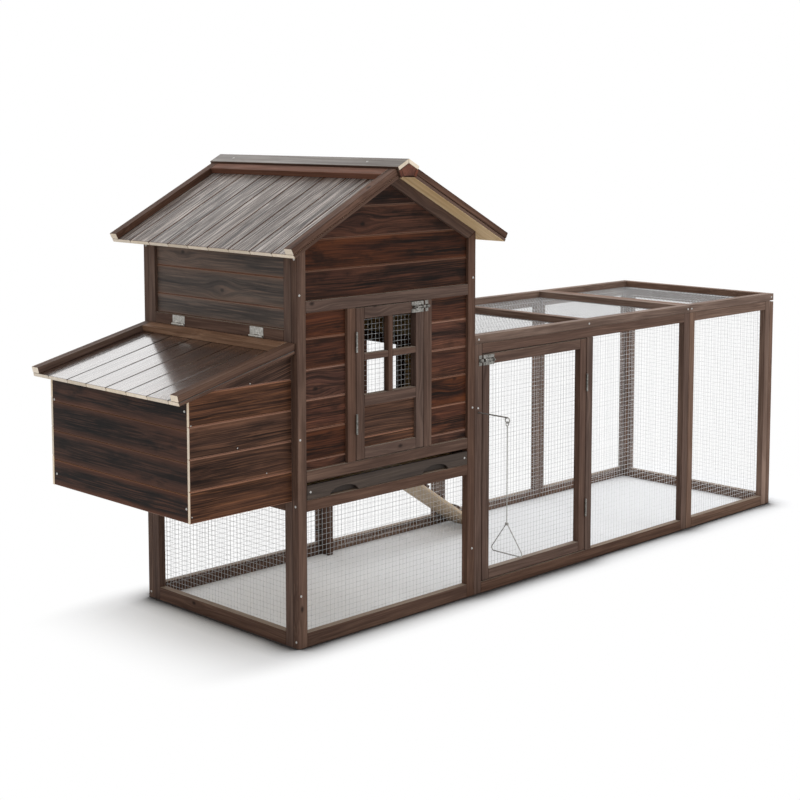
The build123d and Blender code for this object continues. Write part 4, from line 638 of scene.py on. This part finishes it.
# Sheltered zinc plating: light grey, more even and less like a mirror.
plain_zinc = galvanised("plain_zinc_steel", "#c6c4be", "#9c9a94", rough=0.4, cell_mm=5, metal=0.6)
fittings = {"nest_lid_hinge_leaves": plain_zinc}
for fitting in ("house_door_hinge_leaves", "run_door_hinge_leaves", "bolt_keepers", "house_door_bolt_plate",
                "house_door_bolt", "run_door_bolt_plate", "run_door_bolt"):
    fittings[fitting] = zinc_plate
for fitting, zinc in fittings.items():
    part = frame["nodes"][fitting].data
    part.materials.clear()
    part.materials.append(zinc)
leaves = merged_copy("hinge_fixed_leaves")
for face in leaves.faces:
    face.material_index = 1 if face.calc_center_median().x < POST.x + ON_LEFT_WALL else 0
place("hinge_fixed_leaves_zinc", leaves, [zinc_plate, plain_zinc], "hinge_fixed_leaves",
      ("hinge_fixed_leaves",))


# Pull rod and handle. Both are bent from drawn steel wire: the rod slides through the front
# stile and moves the pop door, and the handle hangs loose from the rod's eye.
WIRE_ROUNDING = 0.0006
# Drawn steel: a smooth light grey with a soft glint along it.
drawn_steel = galvanised("drawn_steel_wire", "#b9b8b4", "#8a8884", rough=0.35, cell_mm=3, metal=0.7)
for wire in ("pull_rod", "pull_handle"):
    bent = merged_copy(wire)
    ease_corners(bent, WIRE_ROUNDING)
    for face in bent.faces:
        face.smooth = True
    place(wire + "_wire", bent, [drawn_steel], wire, (wire,))


# Screws. Zinc pan heads with a round socket, 8 mm across, and 4 mm nail heads at the nest box's
# joints. Each is driven square to its face until the head beds into the wood.
SCREW_R = 0.004
NAIL_R = 0.0022
BEDDED = 0.0003
HEAD_SIDES = 12
# Shares of the head's radius, and at last the socket's depth as a share of the head's height.
HEAD_TALL = 0.4
HEAD_CROWN = 0.72
SOCKET_IN = 0.4
SOCKET_WALL = 0.05
SOCKET_DEEP = 0.6
LEFT_SLOPE = -0.2
CAP_SCREWS = (Vector((0, -0.3, 0)), Vector((0, 0.36, 0)))
FRONT, LEFT, BACK = Vector((0, -1, 0)), Vector((-1, 0, 0)), Vector((0, 1, 0))
# New zinc: small, light and matt, so that a head shows as a pale dot.
bright_zinc = galvanised("bright_zinc_screw", "#cfcecb", "#a9a8a4", rough=0.4, cell_mm=3, metal=0.4)


def screws(name, carrier, facing, radius, spots_mm):
    """Screw heads on one flat face, given in millimetres from the foot of the front left post."""
    bm = bmesh.new()
    tall = radius * HEAD_TALL
    turn = UP.rotation_difference(facing).to_matrix().to_4x4()
    for spot in spots_mm:
        middle = POST + Vector(spot) / 1000 + facing * (tall / 2 - BEDDED)
        head = bmesh.ops.create_cone(bm, cap_ends=True, segments=HEAD_SIDES, radius1=radius,
                                     radius2=radius * HEAD_CROWN, depth=tall,
                                     matrix=Matrix.Translation(middle) @ turn)
        sides = {f for v in head["verts"] for f in v.link_faces}
        crown = max(sides, key=lambda f: round(f.calc_center_median().dot(facing), 6))
        bmesh.ops.inset_region(bm, faces=[crown], thickness=radius * SOCKET_IN, depth=0)
        bmesh.ops.inset_region(bm, faces=[crown], thickness=radius * SOCKET_WALL, depth=-tall * SOCKET_DEEP)
    place(name, bm, [bright_zinc], carrier)


screws("front_screws", "front_frame", FRONT, SCREW_R,
       [(x, 0, z) for x in (10, 768) for z in (163, 640, 1073)])
screws("left_screws", "front_frame", LEFT, SCREW_R, [(0, 12, z) for z in (20, 437, 1180)])
screws("left_back_screws", "back_frame", LEFT, SCREW_R, [(0, 747, z) for z in (20, 437, 1180)])
screws("back_screws", "back_frame", BACK, SCREW_R,
       [(x, 760, z) for x in (12, 768) for z in (163, 640, 1073)])
screws("tray_screws", "tray_front", FRONT, SCREW_R, [(50, 0, 476), (730, 0, 476)])
screws("nest_front_screws", "nest_box_front", LEFT, SCREW_R,
       [(-380, 48, 772), (-380, 44, 492), (-380, 714, 722), (-380, 708, 487)])
screws("nest_side_nails", "nest_box_sides", FRONT, NAIL_R,
       [(-374, 27, 732), (-158, 27, 827), (-207, 27, 644), (-98, 27, 553), (-374, 27, 470)])
screws("run_lid_screws", "run_lid_near_frame", FRONT, SCREW_R, [(x, 0, 864) for x in (798, 1384, 1993)])
screws("run_far_lid_screws", "run_lid_far_frame", FRONT, SCREW_R, [(x, 0, 864) for x in (2018, 2584)])
screws("stile_screw", "run_front_near_frame", FRONT, SCREW_R, [(796, 0, 634)])
cap = merged_copy("ridge_cap")
cap.normal_update()
slopes = [f for f in cap.faces if f.normal.x < LEFT_SLOPE and f.normal.z > FACING_UP]
slope = max(slopes, key=lambda f: f.calc_area())
screws("cap_screws", "ridge_cap", slope.normal.copy(), SCREW_R,
       [(slope.calc_center_median() + along - POST) * 1000 for along in CAP_SCREWS])
cap.free()


# Studio. A pale paper floor in a white room, with one wide lamp high on the right, a weak one
# behind and one in front. Past the coop's shadow the paper is seen as white, and close outside
# the sills, where they shut out the sky, its colour is darkened: a painted contact shadow.
FLOOR_HALF = 14.0
FLOOR_DROP = 0.0005
UNDER_SILL = 0.012
CLEAR_OF_COOP = 0.5
FRONT_NARROWER = (1, 3, 1)
PALE_BELOW = 0.13
CONTACT_REACH = 0.11
CONTACT_SKY = (0.6, 0.97)
LEFT_FILL, RIGHT_FILL = 0.76, 1.36
WHITE = (1, 1, 1, 1)
foot_low = Vector((POST.x, POST.y, 0))
foot_high = Vector((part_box("run_end_frame")[1].x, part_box("back_frame")[1].y, 0))
foot_middle = (foot_low + foot_high) / 2
foot_half = (foot_high - foot_low) / 2 - Vector((UNDER_SILL, UNDER_SILL, 0))


def looked_at(tree):
    """1 for what is seen, straight or in metal and glass, and 0 for what only lights the coop."""
    ray = add(tree, "ShaderNodeLightPath")
    seen = add(tree, "ShaderNodeMath", {0: ray.outputs["Is Camera Ray"], 1: ray.outputs["Is Glossy Ray"]},
               operation="MAXIMUM")
    return add(tree, "ShaderNodeMath", {0: seen.outputs[0], 1: ray.outputs["Is Transmission Ray"]},
               operation="MAXIMUM").outputs[0]


floor_grid = bmesh.new()
bmesh.ops.create_grid(floor_grid, x_segments=1, y_segments=1, size=FLOOR_HALF,
                      matrix=Matrix.Translation((0, 0, -FLOOR_DROP)))
floor_mesh = bpy.data.meshes.new("floor")
floor_grid.to_mesh(floor_mesh)
floor_grid.free()
floor = bpy.data.objects.new("floor", floor_mesh)
bpy.context.scene.collection.objects.link(floor)

# White paper: matt, with the distance from the coop's foot to tell shadow from white, and a contact shadow
# painted into its colour by ambient occlusion.
paper = bpy.data.materials.new("white_paper_floor")
paper.use_nodes = True
sheet = paper.node_tree
sheet.nodes.clear()
spot = add(sheet, "ShaderNodeTexCoord").outputs["Object"]
off = add(sheet, "ShaderNodeVectorMath", {0: spot, 1: foot_middle}, operation="SUBTRACT").outputs[0]
off = add(sheet, "ShaderNodeVectorMath", {0: off}, operation="ABSOLUTE").outputs[0]
off = add(sheet, "ShaderNodeVectorMath", {0: off, 1: foot_half}, operation="SUBTRACT").outputs[0]
off = add(sheet, "ShaderNodeVectorMath", {0: off, 1: (0, 0, 0)}, operation="MAXIMUM").outputs[0]
off = add(sheet, "ShaderNodeVectorMath", {0: off, 1: FRONT_NARROWER}, operation="MULTIPLY").outputs[0]
away = add(sheet, "ShaderNodeVectorMath", {0: off}, operation="LENGTH").outputs["Value"]
inside = add(sheet, "ShaderNodeMapRange",
             {"Value": away, "From Max": UNDER_SILL, "To Min": 1.0, "To Max": 0.0}).outputs[0]
# Painted shadow: the paper's colour turns dark grey where ambient occlusion finds the sills close by.
nook = add(sheet, "ShaderNodeAmbientOcclusion", {"Distance": CONTACT_REACH}, samples=8)
sky = add(sheet, "ShaderNodeMapRange",
          {"Value": nook.outputs["AO"], "From Min": CONTACT_SKY[0], "From Max": CONTACT_SKY[1],
           "To Min": inside}).outputs[0]
pale = add(sheet, "ShaderNodeMix", {0: sky, 6: linear("#35312f"), 7: linear("#dddee0")}, data_type="RGBA")
matt = add(sheet, "ShaderNodeBsdfDiffuse", {"Color": pale.outputs[2]})
bare = add(sheet, "ShaderNodeEmission", {"Color": WHITE, "Strength": 1.0})
clear = add(sheet, "ShaderNodeMapRange", {"Value": away, "From Max": CLEAR_OF_COOP, "To Min": PALE_BELOW},
            interpolation_type="SMOOTHSTEP").outputs[0]
white = add(sheet, "ShaderNodeMath", {0: looked_at(sheet), 1: clear}, operation="MULTIPLY").outputs[0]
white = add(sheet, "ShaderNodeMath", {0: white, 1: sky}, operation="MULTIPLY").outputs[0]
sweep = add(sheet, "ShaderNodeMixShader", {0: white, 1: matt.outputs[0], 2: bare.outputs[0]})
add(sheet, "ShaderNodeOutputMaterial", {"Surface": sweep.outputs[0]})
floor_mesh.materials.append(paper)

room = bpy.data.worlds.new("white_room")
bpy.context.scene.world = room
room.use_nodes = True
air = room.node_tree
air.nodes.clear()
towards = add(air, "ShaderNodeTexCoord").outputs["Generated"]
towards = add(air, "ShaderNodeSeparateXYZ", {0: towards})
fill = add(air, "ShaderNodeMapRange",
           {"Value": towards.outputs["X"], "From Min": -1.0, "To Min": LEFT_FILL, "To Max": RIGHT_FILL})
strength = add(air, "ShaderNodeMapRange",
               {"Value": looked_at(air), "To Min": fill.outputs[0], "To Max": 1.0})
glow = add(air, "ShaderNodeBackground", {"Color": WHITE, "Strength": strength.outputs[0]})
add(air, "ShaderNodeOutputWorld", {"Surface": glow.outputs[0]})


def lamp(name, stand, aim, watts, width):
    """A square softbox pointed at a spot."""
    light = bpy.data.lights.new(name, "AREA")
    light.energy = watts
    light.size = width
    holder = bpy.data.objects.new(name, light)
    holder.location = stand
    holder.rotation_euler = (Vector(aim) - Vector(stand)).to_track_quat("-Z", "Y").to_euler()
    bpy.context.scene.collection.objects.link(holder)


lamp("right_softbox", stand=(3.4, 0.6, 4.8), aim=(0.0, 0.0, 0.5), watts=105, width=2.4)
lamp("back_softbox", stand=(0.8, 4.4, 3.8), aim=(-1.0, 0.0, 0.9), watts=24, width=2.6)
lamp("front_softbox", stand=(2.4, -4.6, 2.6), aim=(0.0, 0.0, 0.6), watts=36, width=2.4)


# Camera. Eye height in front of the nest box corner, turned to look along the diagonal; the frame
# is shifted down a little, as the photograph's is.
EYE_FROM_POST = Vector((-3.0328, -3.4737, 1.588))
LENS_PX = 1573.4
FRAME_PX = 800
SENSOR_MM = 36
TURN = math.radians(-44.902)
PITCH_DOWN = math.radians(5.808)
SHIFT_DOWN = 0.15
eye = bpy.data.cameras.new("camera")
eye.sensor_width = SENSOR_MM
eye.lens = LENS_PX / FRAME_PX * SENSOR_MM
eye.shift_y = -SHIFT_DOWN
camera = bpy.data.objects.new("camera", eye)
camera.location = POST + EYE_FROM_POST
camera.rotation_euler = (math.pi / 2 - PITCH_DOWN, 0, TURN)
bpy.context.scene.collection.objects.link(camera)
bpy.context.scene.camera = camera
bpy.context.scene.view_settings.view_transform = "Standard"
